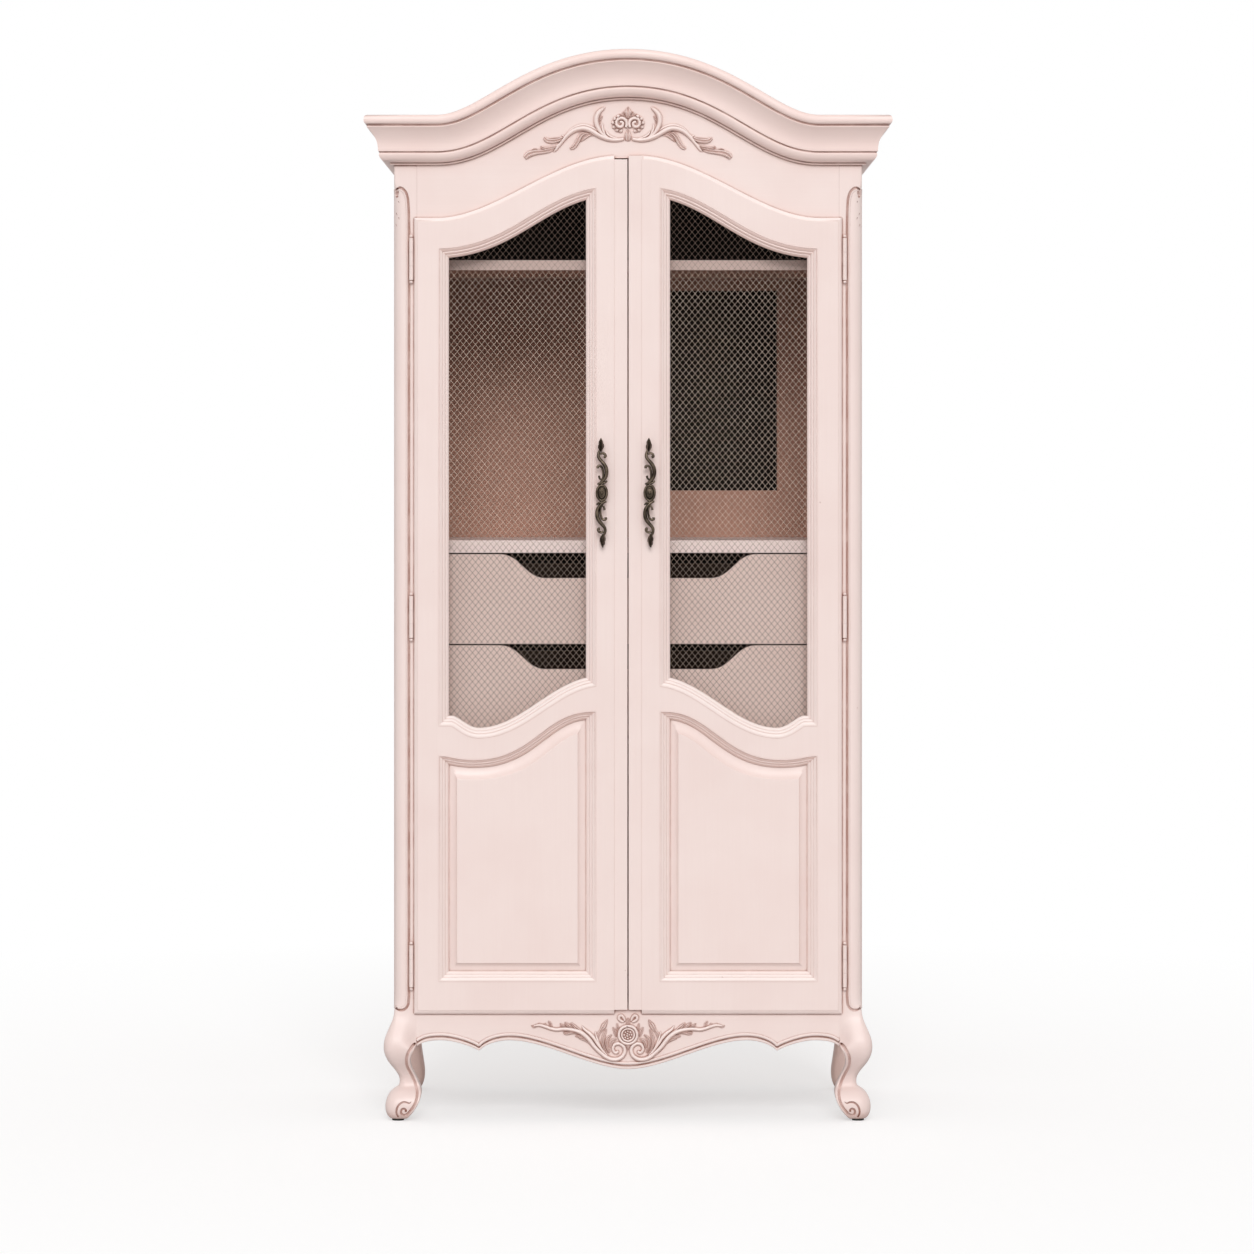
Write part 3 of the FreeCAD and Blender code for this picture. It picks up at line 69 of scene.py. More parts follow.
class Wiring:
    """A node tree being wired: short hands for its nodes and links."""

    def __init__(self, tree: bpy.types.NodeTree, place: bpy.types.NodeSocket) -> None:
        """Takes up a tree and the socket that gives its coordinates."""
        self.tree = tree
        self.place = place

    def add(self, kind: str, **settings: object) -> bpy.types.Node:
        """Adds a node.

        Args:
            kind: The node's type.
            settings: Properties of the node itself.

        Returns:
            The node.
        """
        node = self.tree.nodes.new(kind)
        for label, chosen in settings.items():
            setattr(node, label, chosen)
        return node

    def link(self, output: bpy.types.NodeSocket, entry: bpy.types.NodeSocket) -> None:
        """Joins two sockets."""
        self.tree.links.new(output, entry)

    def axes(self) -> bpy.types.NodeOutputs:
        """Parts the coordinates.

        Returns:
            The sockets X, Y and Z.
        """
        node = self.add("ShaderNodeSeparateXYZ")
        self.link(self.place, node.inputs["Vector"])
        return node.outputs

    def noise(self, scale: float, detail: float = 3.0) -> bpy.types.NodeSocket:
        """A cloudy noise on the coordinates.

        Args:
            scale: How fine it is.
            detail: How many finer layers it has.

        Returns:
            The noise, about a half on average.
        """
        cloud = self.add("ShaderNodeTexNoise")
        cloud.inputs["Scale"].default_value = scale
        cloud.inputs["Detail"].default_value = detail
        self.link(self.place, cloud.inputs["Vector"])
        return cloud.outputs["Fac"]

    def ramp(self, value: bpy.types.NodeSocket, source: Point, target: Point) -> bpy.types.NodeSocket:
        """Moves a number from one range to another and holds it there.

        Args:
            value: The number.
            source: Its range.
            target: The new range.

        Returns:
            The new number.
        """
        node = self.add("ShaderNodeMapRange")
        for label, number in zip(("From Min", "From Max", "To Min", "To Max"), (*source, *target)):
            node.inputs[label].default_value = number
        self.link(value, node.inputs["Value"])
        return node.outputs["Result"]

    def reckon(self, operation: str, first: object, second: object = None) -> bpy.types.NodeSocket:
        """Reckons with one or two numbers.

        Args:
            operation: The Math node's operation.
            first: A socket or a number.
            second: The same, or nothing.

        Returns:
            The result.
        """
        node = self.add("ShaderNodeMath", operation=operation)
        for entry, source in zip(node.inputs, (first, second)):
            if isinstance(source, float):
                entry.default_value = source
            elif source is not None:
                self.link(source, entry)
        return node.outputs["Value"]


class Groups:
    """The shader node groups that the finishes share, each built once."""

    @staticmethod
    def start(name: str, inputs: dict[str, float], *masks: str) -> Wiring:
        """Opens an empty group that takes coordinates and numbers.

        Args:
            name: The group's name.
            inputs: Each number input with its usual value.
            masks: The number outputs.

        Returns:
            The group's wiring, with the nodes "in" and "out".
        """
        tree = bpy.data.node_groups.new(name, "ShaderNodeTree")
        tree.interface.new_socket("Vector", in_out="INPUT", socket_type="NodeSocketVector")
        for label, usual in inputs.items():
            socket = tree.interface.new_socket(label, in_out="INPUT", socket_type="NodeSocketFloat")
            socket.default_value = usual
        for label in masks:
            tree.interface.new_socket(label, in_out="OUTPUT", socket_type="NodeSocketFloat")
        tree.nodes.new("NodeGroupInput").name = "in"
        tree.nodes.new("NodeGroupOutput").name = "out"
        return Wiring(tree, tree.nodes["in"].outputs["Vector"])

    @classmethod
    @cache
    def glaze_and_shade_in_hollows(cls) -> bpy.types.NodeTree:
        """Darkening that stays in the grooves, broken up by a cloudy noise: the paint's brown glaze with
        painted shade, and the bronze's patina.

        Returns:
            The group, whose Mask is 1 where the glaze and the painted shade lie full.
        """
        usual = {"Reach": 0.006, "Amount": 1.0, "Start": 0.84, "Full": 0.45}
        wiring = cls.start("glaze_and_shade_in_hollows", usual, "Mask")
        entry = wiring.tree.nodes["in"].outputs
        # Ambient occlusion finds the hollows where shade falls; the mask paints that shade along with the
        # glaze.
        hollow = wiring.add("ShaderNodeAmbientOcclusion", samples=8)
        wiring.link(entry["Reach"], hollow.inputs["Distance"])
        shape = wiring.add("ShaderNodeMapRange", interpolation_type="SMOOTHSTEP")
        wiring.link(hollow.outputs["AO"], shape.inputs["Value"])
        wiring.link(entry["Start"], shape.inputs["From Min"])
        wiring.link(entry["Full"], shape.inputs["From Max"])
        patches = wiring.ramp(wiring.noise(34.0, 4.0), (0.3, 0.62), (0.6, 1.0))
        broken = wiring.reckon("MULTIPLY", shape.outputs["Result"], patches)
        glazed_and_shaded = wiring.reckon("MULTIPLY", broken, entry["Amount"])
        glazed_and_shaded.node.use_clamp = True
        wiring.link(glazed_and_shaded, wiring.tree.nodes["out"].inputs["Mask"])
        return wiring.tree

    @classmethod
    @cache
    def brush_streaks(cls) -> bpy.types.NodeTree:
        """Fine streaks of a brush, from a noise whose coordinates are already stretched.

        Returns:
            The group, whose Streak runs from 0 to 1.
        """
        wiring = cls.start("brush_streaks", {"Contrast": 0.25}, "Streak")
        entry = wiring.tree.nodes["in"].outputs
        fine = wiring.noise(1.0)
        fine.node.inputs["Roughness"].default_value = 0.65
        spread = wiring.add("ShaderNodeMapRange")
        wiring.link(fine, spread.inputs["Value"])
        for operation, end in (("SUBTRACT", "From Min"), ("ADD", "From Max")):
            wiring.link(wiring.reckon(operation, 0.5, entry["Contrast"]), spread.inputs[end])
        wiring.link(spread.outputs["Result"], wiring.tree.nodes["out"].inputs["Streak"])
        return wiring.tree

    @classmethod
    @cache
    def painted_light_by_facing(cls) -> bpy.types.NodeTree:
        """Painted highlight on faces that look up, and painted shade on faces that look down.

        Returns:
            The group, which takes the normal and gives the masks Above and Below.
        """
        wiring = cls.start("painted_light_by_facing", {"Rubbed": 0.0, "Settled": 0.0}, "Above", "Below")
        entry = wiring.tree.nodes["in"].outputs
        tilt = wiring.axes()["Z"]
        # Faces that look up are painted paler and faces that look down darker, as the light from above would
        # light and shade them.
        for amount, mask, between in (("Rubbed", "Above", (0.1, 0.5)), ("Settled", "Below", (-0.08, -0.45))):
            shape = wiring.ramp(tilt, between, WHOLE)
            wiring.link(entry[amount], shape.node.inputs["To Max"])
            wiring.link(shape, wiring.tree.nodes["out"].inputs[mask])
        return wiring.tree

    @classmethod
    @cache
    def worn_specks(cls) -> bpy.types.NodeTree:
        """Small dark nicks and worm marks, a few in each square foot.

        Returns:
            The group, whose Mask is 1 on a nick.
        """
        wiring = cls.start("worn_specks", {"Scale": 26.0, "Size": 0.035}, "Mask")
        entry = wiring.tree.nodes["in"].outputs
        cells = wiring.add("ShaderNodeTexVoronoi")
        wiring.link(wiring.place, cells.inputs["Vector"])
        wiring.link(entry["Scale"], cells.inputs["Scale"])
        drawn = wiring.add("ShaderNodeSeparateColor")
        wiring.link(cells.outputs["Color"], drawn.inputs["Color"])
        rare = wiring.reckon("GREATER_THAN", drawn.outputs["Red"], 0.86)
        near = wiring.reckon("LESS_THAN", cells.outputs["Distance"], entry["Size"])
        nicks = wiring.reckon("MULTIPLY", rare, near)
        wiring.link(nicks, wiring.tree.nodes["out"].inputs["Mask"])
        return wiring.tree


class Shader(Wiring):
    """A material being wired on Object coordinates, from a bare Principled BSDF."""

    def __init__(self, name: str) -> None:
        """Opens the material.

        Args:
            name: Its name.
        """
        self.material = bpy.data.materials.new(name)
        self.material.use_nodes = True
        tree = self.material.node_tree
        self.bsdf = tree.nodes["Principled BSDF"]
        source = tree.nodes.new("ShaderNodeTexCoord")
        self.facing = source.outputs["Normal"]
        super().__init__(tree, source.outputs["Object"])

    def group(self, tree: bpy.types.NodeTree, **values: float) -> bpy.types.Node:
        """Places a shared group on the coordinates.

        Args:
            tree: The group.
            values: Its number inputs.

        Returns:
            The group's node.
        """
        node = self.add("ShaderNodeGroup", node_tree=tree)
        self.link(self.place, node.inputs["Vector"])
        for label, number in values.items():
            node.inputs[label].default_value = number
        return node

    def streaks(self, grain: Grain, contrast: float = 0.25) -> bpy.types.NodeSocket:
        """Streaks of a brush or of wood.

        Args:
            grain: The way they run.
            contrast: The half range of the noise that they show.

        Returns:
            A number from 0 to 1.
        """
        mapping = self.add("ShaderNodeMapping")
        mapping.inputs["Scale"].default_value = grain.value
        self.link(self.place, mapping.inputs["Vector"])
        node = self.group(Groups.brush_streaks(), Contrast=contrast)
        self.link(mapping.outputs["Vector"], node.inputs["Vector"])
        return node.outputs["Streak"]

    def mix(self, factor: bpy.types.NodeSocket, first: object, second: object) -> bpy.types.NodeSocket:
        """Mixes two colours.

        Args:
            factor: How much of the second one there is.
            first: A socket or three numbers.
            second: The same.

        Returns:
            The mixed colour.
        """
        node = self.add("ShaderNodeMix", data_type="RGBA")
        self.link(factor, node.inputs["Factor"])
        for entry, colour in zip((node.inputs[6], node.inputs[7]), (first, second)):
            if isinstance(colour, tuple):
                entry.default_value = (*colour, 1.0)
            else:
                self.link(colour, entry)
        return node.outputs[2]

    def bump(self, height: bpy.types.NodeSocket, relief: Point) -> None:
        """Raises the surface a little.

        Args:
            height: Where it is raised.
            relief: The strength, and the height in metres.
        """
        node = self.add("ShaderNodeBump")
        node.inputs["Strength"].default_value, node.inputs["Distance"].default_value = relief
        self.link(height, node.inputs["Height"])
        self.link(node.outputs["Normal"], self.bsdf.inputs["Normal"])


@dataclass(frozen=True)
class Paint:
    """Satin paint over wood, with a glaze and painted shade in the grooves, painted highlight on faces that
    look up and painted shade on faces that look down.
    """

    name: str
    body: Colour = (0.86, 0.725, 0.688)
    warm: Colour = (0.80, 0.64, 0.602)
    # The pink brown of painted shade, in broad hollows and on faces that look down.
    shade_tint: Colour = (0.74, 0.525, 0.47)
    glaze: Colour = (0.32, 0.14, 0.10)
    # The colour of the painted highlight on faces that look up.
    pale: Colour = (0.95, 0.85, 0.82)
    grain: Grain = Grain.UPRIGHT
    cloud_scale: float = 7.0
    mottle_from: Point = (0.38, 0.68)
    mottle_amount: float = 0.4
    streak_amount: float = 0.22
    streak_relief: Point = (0.12, 0.0006)
    # A brown glaze in the narrow grooves, which also paints the shade that falls there.
    glaze_shade_amount: float = 0.75
    glaze_shade_from: Point = (0.84, 0.45)
    reach: float = 0.006
    # A broad painted shade tint in hollows within about 30 mm, from ambient occlusion.
    shade_tint_amount: float = 0.8
    shade_tint_from: Point = (0.95, 0.4)
    shade_tint_reach: float = 0.03
    # Painted shade low on a piece: a warmer, darker tone towards the floor.
    low_painted_shade: float = 0.0
    low_shade_between: Point = (0.15, 0.23)
    # How much painted highlight lies on faces that look up, and painted shade on faces that look down.
    painted_highlight: float = 0.0
    painted_shade_below: float = 0.0
    speck_size: float = 0.03
    speck_amount: float = 0.7
    roughness: Point = (0.36, 0.5)

    def material(self) -> bpy.types.Material:
        """Builds the paint.

        Returns:
            The material.
        """
        shader = Shader(self.name)
        streaks = shader.streaks(self.grain)
        cloud = shader.noise(self.cloud_scale)
        mottle = shader.ramp(cloud, self.mottle_from, (0.0, self.mottle_amount))
        mottled = shader.mix(mottle, self.body, self.warm)
        brushed = shader.mix(shader.ramp(streaks, WHOLE, (self.streak_amount, 0.0)), mottled, self.warm)
        # Painted shade: the paint turns warmer and darker towards the floor.
        low = shader.ramp(shader.axes()["Z"], self.low_shade_between, (self.low_painted_shade, 0.0))
        low_shaded = shader.mix(low, brushed, self.warm)
        faces = shader.group(Groups.painted_light_by_facing(), Rubbed=self.painted_highlight, Settled=self.painted_shade_below)
        shader.link(shader.facing, faces.inputs["Vector"])
        # Painted highlight on faces that look up, then painted shade on faces that look down.
        painted_highlight = shader.mix(faces.outputs["Above"], low_shaded, self.pale)
        shaded_below = shader.mix(faces.outputs["Below"], painted_highlight, self.shade_tint)
        # Painted shade: a pink brown tint in the broad hollows.
        shaded = self.glazed_and_shaded(shader, shaded_below, self.shade_tint, self.shade_tint_reach, self.shade_tint_amount, self.shade_tint_from)
        # Brown glaze with painted shade in the narrow grooves.
        glazed_and_shaded = self.glazed_and_shaded(shader, shaded, self.glaze, self.reach, self.glaze_shade_amount, self.glaze_shade_from)
        specks = shader.group(Groups.worn_specks(), Size=self.speck_size)
        nicks = shader.ramp(specks.outputs["Mask"], WHOLE, (0.0, self.speck_amount))
        shader.link(shader.mix(nicks, glazed_and_shaded, self.glaze), shader.bsdf.inputs["Base Color"])
        shader.link(shader.ramp(cloud, CLOUDS, self.roughness), shader.bsdf.inputs["Roughness"])
        shader.bump(streaks, self.streak_relief)
        return shader.material

    @staticmethod
    def glazed_and_shaded(
        shader: Shader,
        under: bpy.types.NodeSocket,
        glaze: Colour,
        reach: float,
        amount: float,
        between: Point,
    ) -> bpy.types.NodeSocket:
        """Lays a colour in the hollows, as a brown glaze with painted shade and as a painted shade tint.

        Args:
            shader: The paint's wiring.
            under: The colour below it.
            glaze: The colour laid in the hollows.
            reach: How wide a hollow holds it, in metres.
            amount: How much of it there is.
            between: The openness at which it starts, and at which it is full.

        Returns:
            The colour with its hollows darkened.
        """
        start, full = between
        hollow = shader.group(Groups.glaze_and_shade_in_hollows(), Reach=reach, Amount=amount, Start=start, Full=full)
        return shader.mix(hollow.outputs["Mask"], under, glaze)


@dataclass(frozen=True)
class Metal:
    """A cast or turned metal with darker hollows and high places worn bright."""

    name: str
    dark: Colour
    bright: Colour
    metallic: float = 1.0
    roughness: Point = (0.35, 0.6)
    reach: float = 0.004
    hollow_from: Point = (0.84, 0.45)
    hollow_share: float = 0.35
    cloud_scale: float = 60.0
    pit_scale: float = 420.0
    pit_relief: Point = (0.15, 0.0004)

    def material(self) -> bpy.types.Material:
        """Builds the metal.

        Returns:
            The material.
        """
        shader = Shader(self.name)
        cloud = shader.noise(self.cloud_scale, 4.0)
        patina = shader.mix(shader.ramp(cloud, PATCHES, WHOLE), self.bright, self.dark)
        start, full = self.hollow_from
        hollow = shader.group(Groups.glaze_and_shade_in_hollows(), Reach=self.reach, Start=start, Full=full)
        deep = tuple(self.hollow_share * part for part in self.dark)
        shader.link(shader.mix(hollow.outputs["Mask"], patina, deep), shader.bsdf.inputs["Base Color"])
        shader.bsdf.inputs["Metallic"].default_value = self.metallic
        shader.link(shader.ramp(cloud, CLOUDS, self.roughness), shader.bsdf.inputs["Roughness"])
        shader.bump(shader.noise(self.pit_scale, 2.0), self.pit_relief)
        return shader.material


@dataclass(frozen=True)
class DrawnWire:
    """Pale wire, painted brown as painted shade over the shelf and before the drawers but for their hand
    holes.
    """

    name: str
    dark: Colour = (0.53, 0.42, 0.345)
    bright: Colour = (0.79, 0.645, 0.54)
    # The brown of the painted shade on the wire.
    wire_shade_brown: Colour = (0.16, 0.105, 0.082)
    wire_shade_below: Point = (1.13, 1.19)
    wire_shade_above: Point = (1.69, 1.70)
    above_share: float = 0.9
    hole: float = 1.1095
    hole_step: float = 0.181
    hole_high: Point = (0.021, 0.025)
    hole_wide: Point = (0.215, 0.235)
    hole_share: float = 0.7
    cloud_scale: float = 60.0
    roughness: Point = (0.35, 0.6)

    def material(self) -> bpy.types.Material:
        """Builds the wire's finish.

        Returns:
            The material.
        """
        shader = Shader(self.name)
        cloud = shader.noise(self.cloud_scale, 4.0)
        bare = shader.mix(shader.ramp(cloud, PATCHES, WHOLE), self.bright, self.dark)
        axes = shader.axes()
        across, height = axes["X"], axes["Z"]
        paler = (self.hole_share, 1.0)
        # Painted shade: the wire is painted brown before the drawers, less so at their hand holes, and over
        # the shelf.
        rows = shader.reckon("PINGPONG", shader.reckon("SUBTRACT", height, self.hole), self.hole_step / 2)
        near = shader.ramp(rows, self.hole_high, paler)
        beside = shader.ramp(shader.reckon("ABSOLUTE", across), self.hole_wide, paler)
        low = shader.ramp(height, self.wire_shade_below, (1.0, 0.0))
        shaded_low = shader.reckon("MULTIPLY", low, shader.reckon("MAXIMUM", near, beside))
        high = shader.ramp(height, self.wire_shade_above, (0.0, self.above_share))
        toned = shader.mix(shader.reckon("MAXIMUM", shaded_low, high), bare, self.wire_shade_brown)
        shader.link(toned, shader.bsdf.inputs["Base Color"])
        shader.link(shader.ramp(cloud, CLOUDS, self.roughness), shader.bsdf.inputs["Roughness"])
        return shader.material


@dataclass(frozen=True)
class BareWood:
    """Sanded wood or stained board with a plain straight grain."""

    name: str
    pale: Colour
    dark: Colour
    grain: Grain = Grain.DEEP
    contrast: float = 0.35
    relief: Point = (0.2, 0.0005)
    roughness: Point = (0.5, 0.7)
    sheen: float = 0.4

    def material(self) -> bpy.types.Material:
        """Builds the wood.

        Returns:
            The material.
        """
        shader = Shader(self.name)
        streaks = shader.streaks(self.grain, self.contrast)
        shader.link(shader.mix(streaks, self.dark, self.pale), shader.bsdf.inputs["Base Color"])
        shader.link(shader.ramp(streaks, WHOLE, self.roughness), shader.bsdf.inputs["Roughness"])
        shader.bsdf.inputs["Specular IOR Level"].default_value = self.sheen
        shader.bump(streaks, self.relief)
        return shader.material


@dataclass(frozen=True)
class InnerBoard:
    """Brown stained boards, painted darker up towards the shelf as painted shade, whose inner face is painted
    almost black over the shelf and behind the drawers as painted shade.
    """

    name: str
    pale: Colour = (0.53, 0.312, 0.24)
    dark: Colour = (0.43, 0.24, 0.177)
    # Painted shade: the almost black of the inner face over the shelf and behind the drawers.
    black: Colour = (0.004, 0.003, 0.0025)
    # Painted shade: the board darkens towards this brown up to the shelf.
    shade_umber: Colour = (0.09, 0.038, 0.026)
    shade_heights: Point = (1.16, 1.70)
    shade_share: float = 0.71
    # Painted shade: the heights over the shelf, and behind the drawers, where the inner face is painted
    # almost black.
    painted_black_heights: Point = (1.70, 1.73)
    case_low: Point = (0.80, 0.81)
    case_high: Point = (1.135, 1.145)
    inner_face: Point = (0.2690, 0.2700)
    grain: Grain = Grain.UPRIGHT
    contrast: float = 0.4
    roughness: float = 0.75
    sheen: float = 0.2

    def material(self) -> bpy.types.Material:
        """Builds the stained board.

        Returns:
            The material.
        """
        shader = Shader(self.name)
        plain = shader.mix(shader.streaks(self.grain, self.contrast), self.dark, self.pale)
        axes = shader.axes()
        depth, height = axes["Y"], axes["Z"]
        # Painted shade: darker up towards the shelf.
        stained = shader.mix(shader.ramp(height, self.shade_heights, (0.0, self.shade_share)), plain, self.shade_umber)
        high = shader.ramp(height, self.painted_black_heights, WHOLE)
        over = shader.ramp(height, self.case_low, WHOLE)
        under = shader.ramp(height, self.case_high, (1.0, 0.0))
        # Painted shade: black over the shelf and behind the drawers, on the inner face only.
        dim = shader.reckon("MAXIMUM", high, shader.reckon("MULTIPLY", over, under))
        within = shader.ramp(depth, self.inner_face, (1.0, 0.0))
        shade = shader.reckon("MULTIPLY", dim, within)
        shader.link(shader.mix(shade, stained, self.black), shader.bsdf.inputs["Base Color"])
        shader.bsdf.inputs["Roughness"].default_value = self.roughness
        shader.bsdf.inputs["Specular IOR Level"].default_value = self.sheen
        return shader.material


@dataclass(frozen=True)
class Pad:
    """A dark moulded pad with a faint speckle."""

    name: str
    dark: Colour = (0.012, 0.010, 0.009)
    pale: Colour = (0.035, 0.03, 0.027)
    cloud_scale: float = 300.0
    roughness: Point = (0.5, 0.7)

    def material(self) -> bpy.types.Material:
        """Builds the pad's plastic.

        Returns:
            The material.
        """
        shader = Shader(self.name)
        cloud = shader.noise(self.cloud_scale)
        shader.link(shader.mix(cloud, self.dark, self.pale), shader.bsdf.inputs["Base Color"])
        shader.link(shader.ramp(cloud, CLOUDS, self.roughness), shader.bsdf.inputs["Roughness"])
        return shader.material


def metres(*sizes: float) -> tuple:
    """Millimetres as metres."""
    return tuple(size / 1000 for size in sizes)


class Bench:
    """The hand operations that every new piece is made with."""

    WELD = 1e-5

    @staticmethod
    def clear() -> None:
        """Leaves edit mode and lets go of everything."""
        if bpy.context.mode != "OBJECT":
            bpy.ops.object.mode_set(mode="OBJECT")
        bpy.ops.object.select_all(action="DESELECT")

    @classmethod
    def take(cls, piece: bpy.types.Object) -> None:
        """Selects one piece alone and makes it active.

        Args:
            piece: The piece.
        """
        cls.clear()
        piece.select_set(True)
        bpy.context.view_layer.objects.active = piece

    @classmethod
    def open(cls, piece: bpy.types.Object) -> None:
        """Takes a piece into edit mode with all of it selected.

        Args:
            piece: The piece.
        """
        cls.take(piece)
        bpy.ops.object.mode_set(mode="EDIT")
        bpy.ops.mesh.select_all(action="SELECT")

    @staticmethod
    def settle() -> None:
        """Puts the active piece's place, turn and scale into its mesh."""
        bpy.ops.object.transform_apply(location=True, rotation=True, scale=True)

    @staticmethod
    def placed(name: str, data: bpy.types.ID) -> bpy.types.Object:
        """Puts data into the scene.

        Args:
            name: The new object's name.
            data: A mesh, a curve, a lamp or a camera.

        Returns:
            The object.
        """
        piece = bpy.data.objects.new(name, data)
        bpy.context.scene.collection.objects.link(piece)
        return piece

    @classmethod
    def tidy(cls, piece: bpy.types.Object) -> None:
        """Welds a piece's doubles and turns its faces outwards.

        Args:
            piece: The piece.
        """
        cls.open(piece)
        bpy.ops.mesh.remove_doubles(threshold=cls.WELD)
        bpy.ops.mesh.normals_make_consistent(inside=False)
        cls.clear()

    @staticmethod
    def straight(data: bpy.types.Curve, places: list[tuple]) -> bpy.types.Spline:
        """Adds a run of straight lines to a curve.

        Args:
            data: The curve.
            places: Its points, in the curve's own unit.

        Returns:
            The run.
        """
        run = data.splines.new("POLY")
        run.points.add(len(places) - 1)
        for point, place in zip(run.points, places):
            point.co = (*place, 1.0)
        return run

    @classmethod
    def from_curve(cls, data: bpy.types.Curve, depth: float | None = None) -> bpy.types.Object:
        """Makes a piece from a curve.

        Args:
            data: The curve.
            depth: Where a flat curve stands upright along Y, in metres; one in space stays as it is.

        Returns:
            The piece, as a mesh.
        """
        piece = cls.placed(data.name, data)
        if depth is not None:
            piece.rotation_euler = (math.pi / 2, 0.0, 0.0)
            piece.location = (0.0, depth, 0.0)
        cls.take(piece)
        bpy.ops.object.convert(target="MESH")
        cls.settle()
        return bpy.context.object

    @classmethod
    def board(
        cls,
        outlines: list[list[Point]],
        faces: Point,
        round_over: float = 0.5,
        steps: int = 1,
        inside: bool = False,
    ) -> bpy.types.Object:
        """Saws a board to an outline, with openings and rounded edges.

        Args:
            outlines: The outline and the openings, in millimetres.
            faces: Its front and its back along Y.
            round_over: The radius of its edges.
            steps: How finely they are rounded.
            inside: Whether the rounding stays inside the outline.

        Returns:
            The board.
        """
        front, back = faces
        data = bpy.data.curves.new("board", "CURVE")
        data.dimensions = "2D"
        data.fill_mode = "BOTH"
        data.bevel_depth = round_over / 1000
        data.bevel_resolution = steps
        data.extrude = (back - front) / 2000 - data.bevel_depth
        if inside:
            data.offset = -data.bevel_depth
        for points in outlines:
            cls.straight(data, [metres(x, z, 0.0) for x, z in points]).use_cyclic_u = True
        board = cls.from_curve(data, (front + back) / 2000)
        cls.tidy(board)
        return board

    @classmethod
    def modify(cls, piece: bpy.types.Object, kind: str, **settings: object) -> None:
        """Adds a modifier to a piece and applies it.

        Args:
            piece: The piece.
            kind: The modifier's type.
            settings: Its properties.
        """
        cls.take(piece)
        step = piece.modifiers.new(kind.lower(), kind)
        for label, chosen in settings.items():
            setattr(step, label, chosen)
        bpy.ops.object.modifier_apply(modifier=step.name)

    @classmethod
    def join(cls, name: str, pieces: list[bpy.types.Object]) -> bpy.types.Object:
        """Joins pieces into one object.

        Args:
            name: The name of the whole.
            pieces: The pieces, which are used up.

        Returns:
            The whole.
        """
        cls.take(pieces[0])
        for piece in pieces:
            piece.select_set(True)
        bpy.ops.object.join()
        whole = bpy.context.view_layer.objects.active
        whole.name = name
        return whole

    @classmethod
    def block(cls, low: tuple, high: tuple) -> bpy.types.Object:
        """A squared block between two corners.

        Args:
            low: The corner with the least of each axis, in metres.
            high: The corner with the most.

        Returns:
            The block, with its place in its mesh.
        """
        cls.clear()
        bpy.ops.mesh.primitive_cube_add(size=1.0, location=[(a + b) / 2 for a, b in zip(low, high)])
        piece = bpy.context.object
        piece.scale = [b - a for a, b in zip(low, high)]
        cls.settle()
        return piece

    @classmethod
    def turned_over(cls, piece: bpy.types.Object) -> bpy.types.Object:
        """Turns a piece over to the other side of the middle plane.

        Args:
            piece: The piece.

        Returns:
            The same piece.
        """
        cls.open(piece)
        bpy.ops.transform.resize(value=(-1.0, 1.0, 1.0), center_override=(0.0, 0.0, 0.0))
        bpy.ops.mesh.normals_make_consistent(inside=False)
        cls.clear()
        return piece

    @classmethod
    def mirrored(cls, piece: bpy.types.Object) -> bpy.types.Object:
        """Copies a piece to the other side of the middle plane.

        Args:
            piece: The piece.

        Returns:
            The copy.
        """
        twin = piece.copy()
        twin.data = piece.data.copy()
        bpy.context.scene.collection.objects.link(twin)
        return cls.turned_over(twin)

    @classmethod
    def seat(
        cls,
        piece: bpy.types.Object,
        name: str,
        body: str,
        slot: str,
        finish: bpy.types.Material,
        *nodes: str,
        crease: float = 40.0,
    ) -> bpy.types.Object:
        """Names and dresses a finished piece and rides it on its body.

        Args:
            piece: The piece.
            name: Its name.
            body: The body that carries it.
            slot: The record's material slot; not used.
            finish: Its material.
            nodes: The CAD nodes that it stands for.
            crease: The angle in degrees from which an edge stays sharp.

        Returns:
            The piece.
        """
        piece.name = name
        piece.data.name = name
        piece.data.materials.clear()
        piece.data.materials.append(finish)
        cls.take(piece)
        bpy.ops.object.shade_smooth_by_angle(angle=math.radians(crease))
        cls.modify(piece, "WEIGHTED_NORMAL", keep_sharp=True)
        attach(piece, body)
        if nodes:
            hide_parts(*nodes)
        log.info("%s rides on %s with %d faces", name, body, len(piece.data.polygons))
        return piece


class Section(Enum):
    """Sections of a carved stroke: shares of its half width, across and up."""

    ROUND = (
        (-1.0, 0.0), (-0.94, 0.8), (-0.66, 1.4), (-0.22, 1.7), (0.22, 1.7), (0.66, 1.4), (0.94, 0.8),
        (1.0, 0.0), (0.6, -0.4), (-0.6, -0.4),
    )
    LEAF = (
        (-1.0, 0.0), (-0.92, 0.8), (-0.56, 1.4), (-0.12, 0.75), (0.12, 0.75), (0.56, 1.4), (0.92, 0.8),
        (1.0, 0.0), (0.6, -0.3), (-0.6, -0.3),
    )


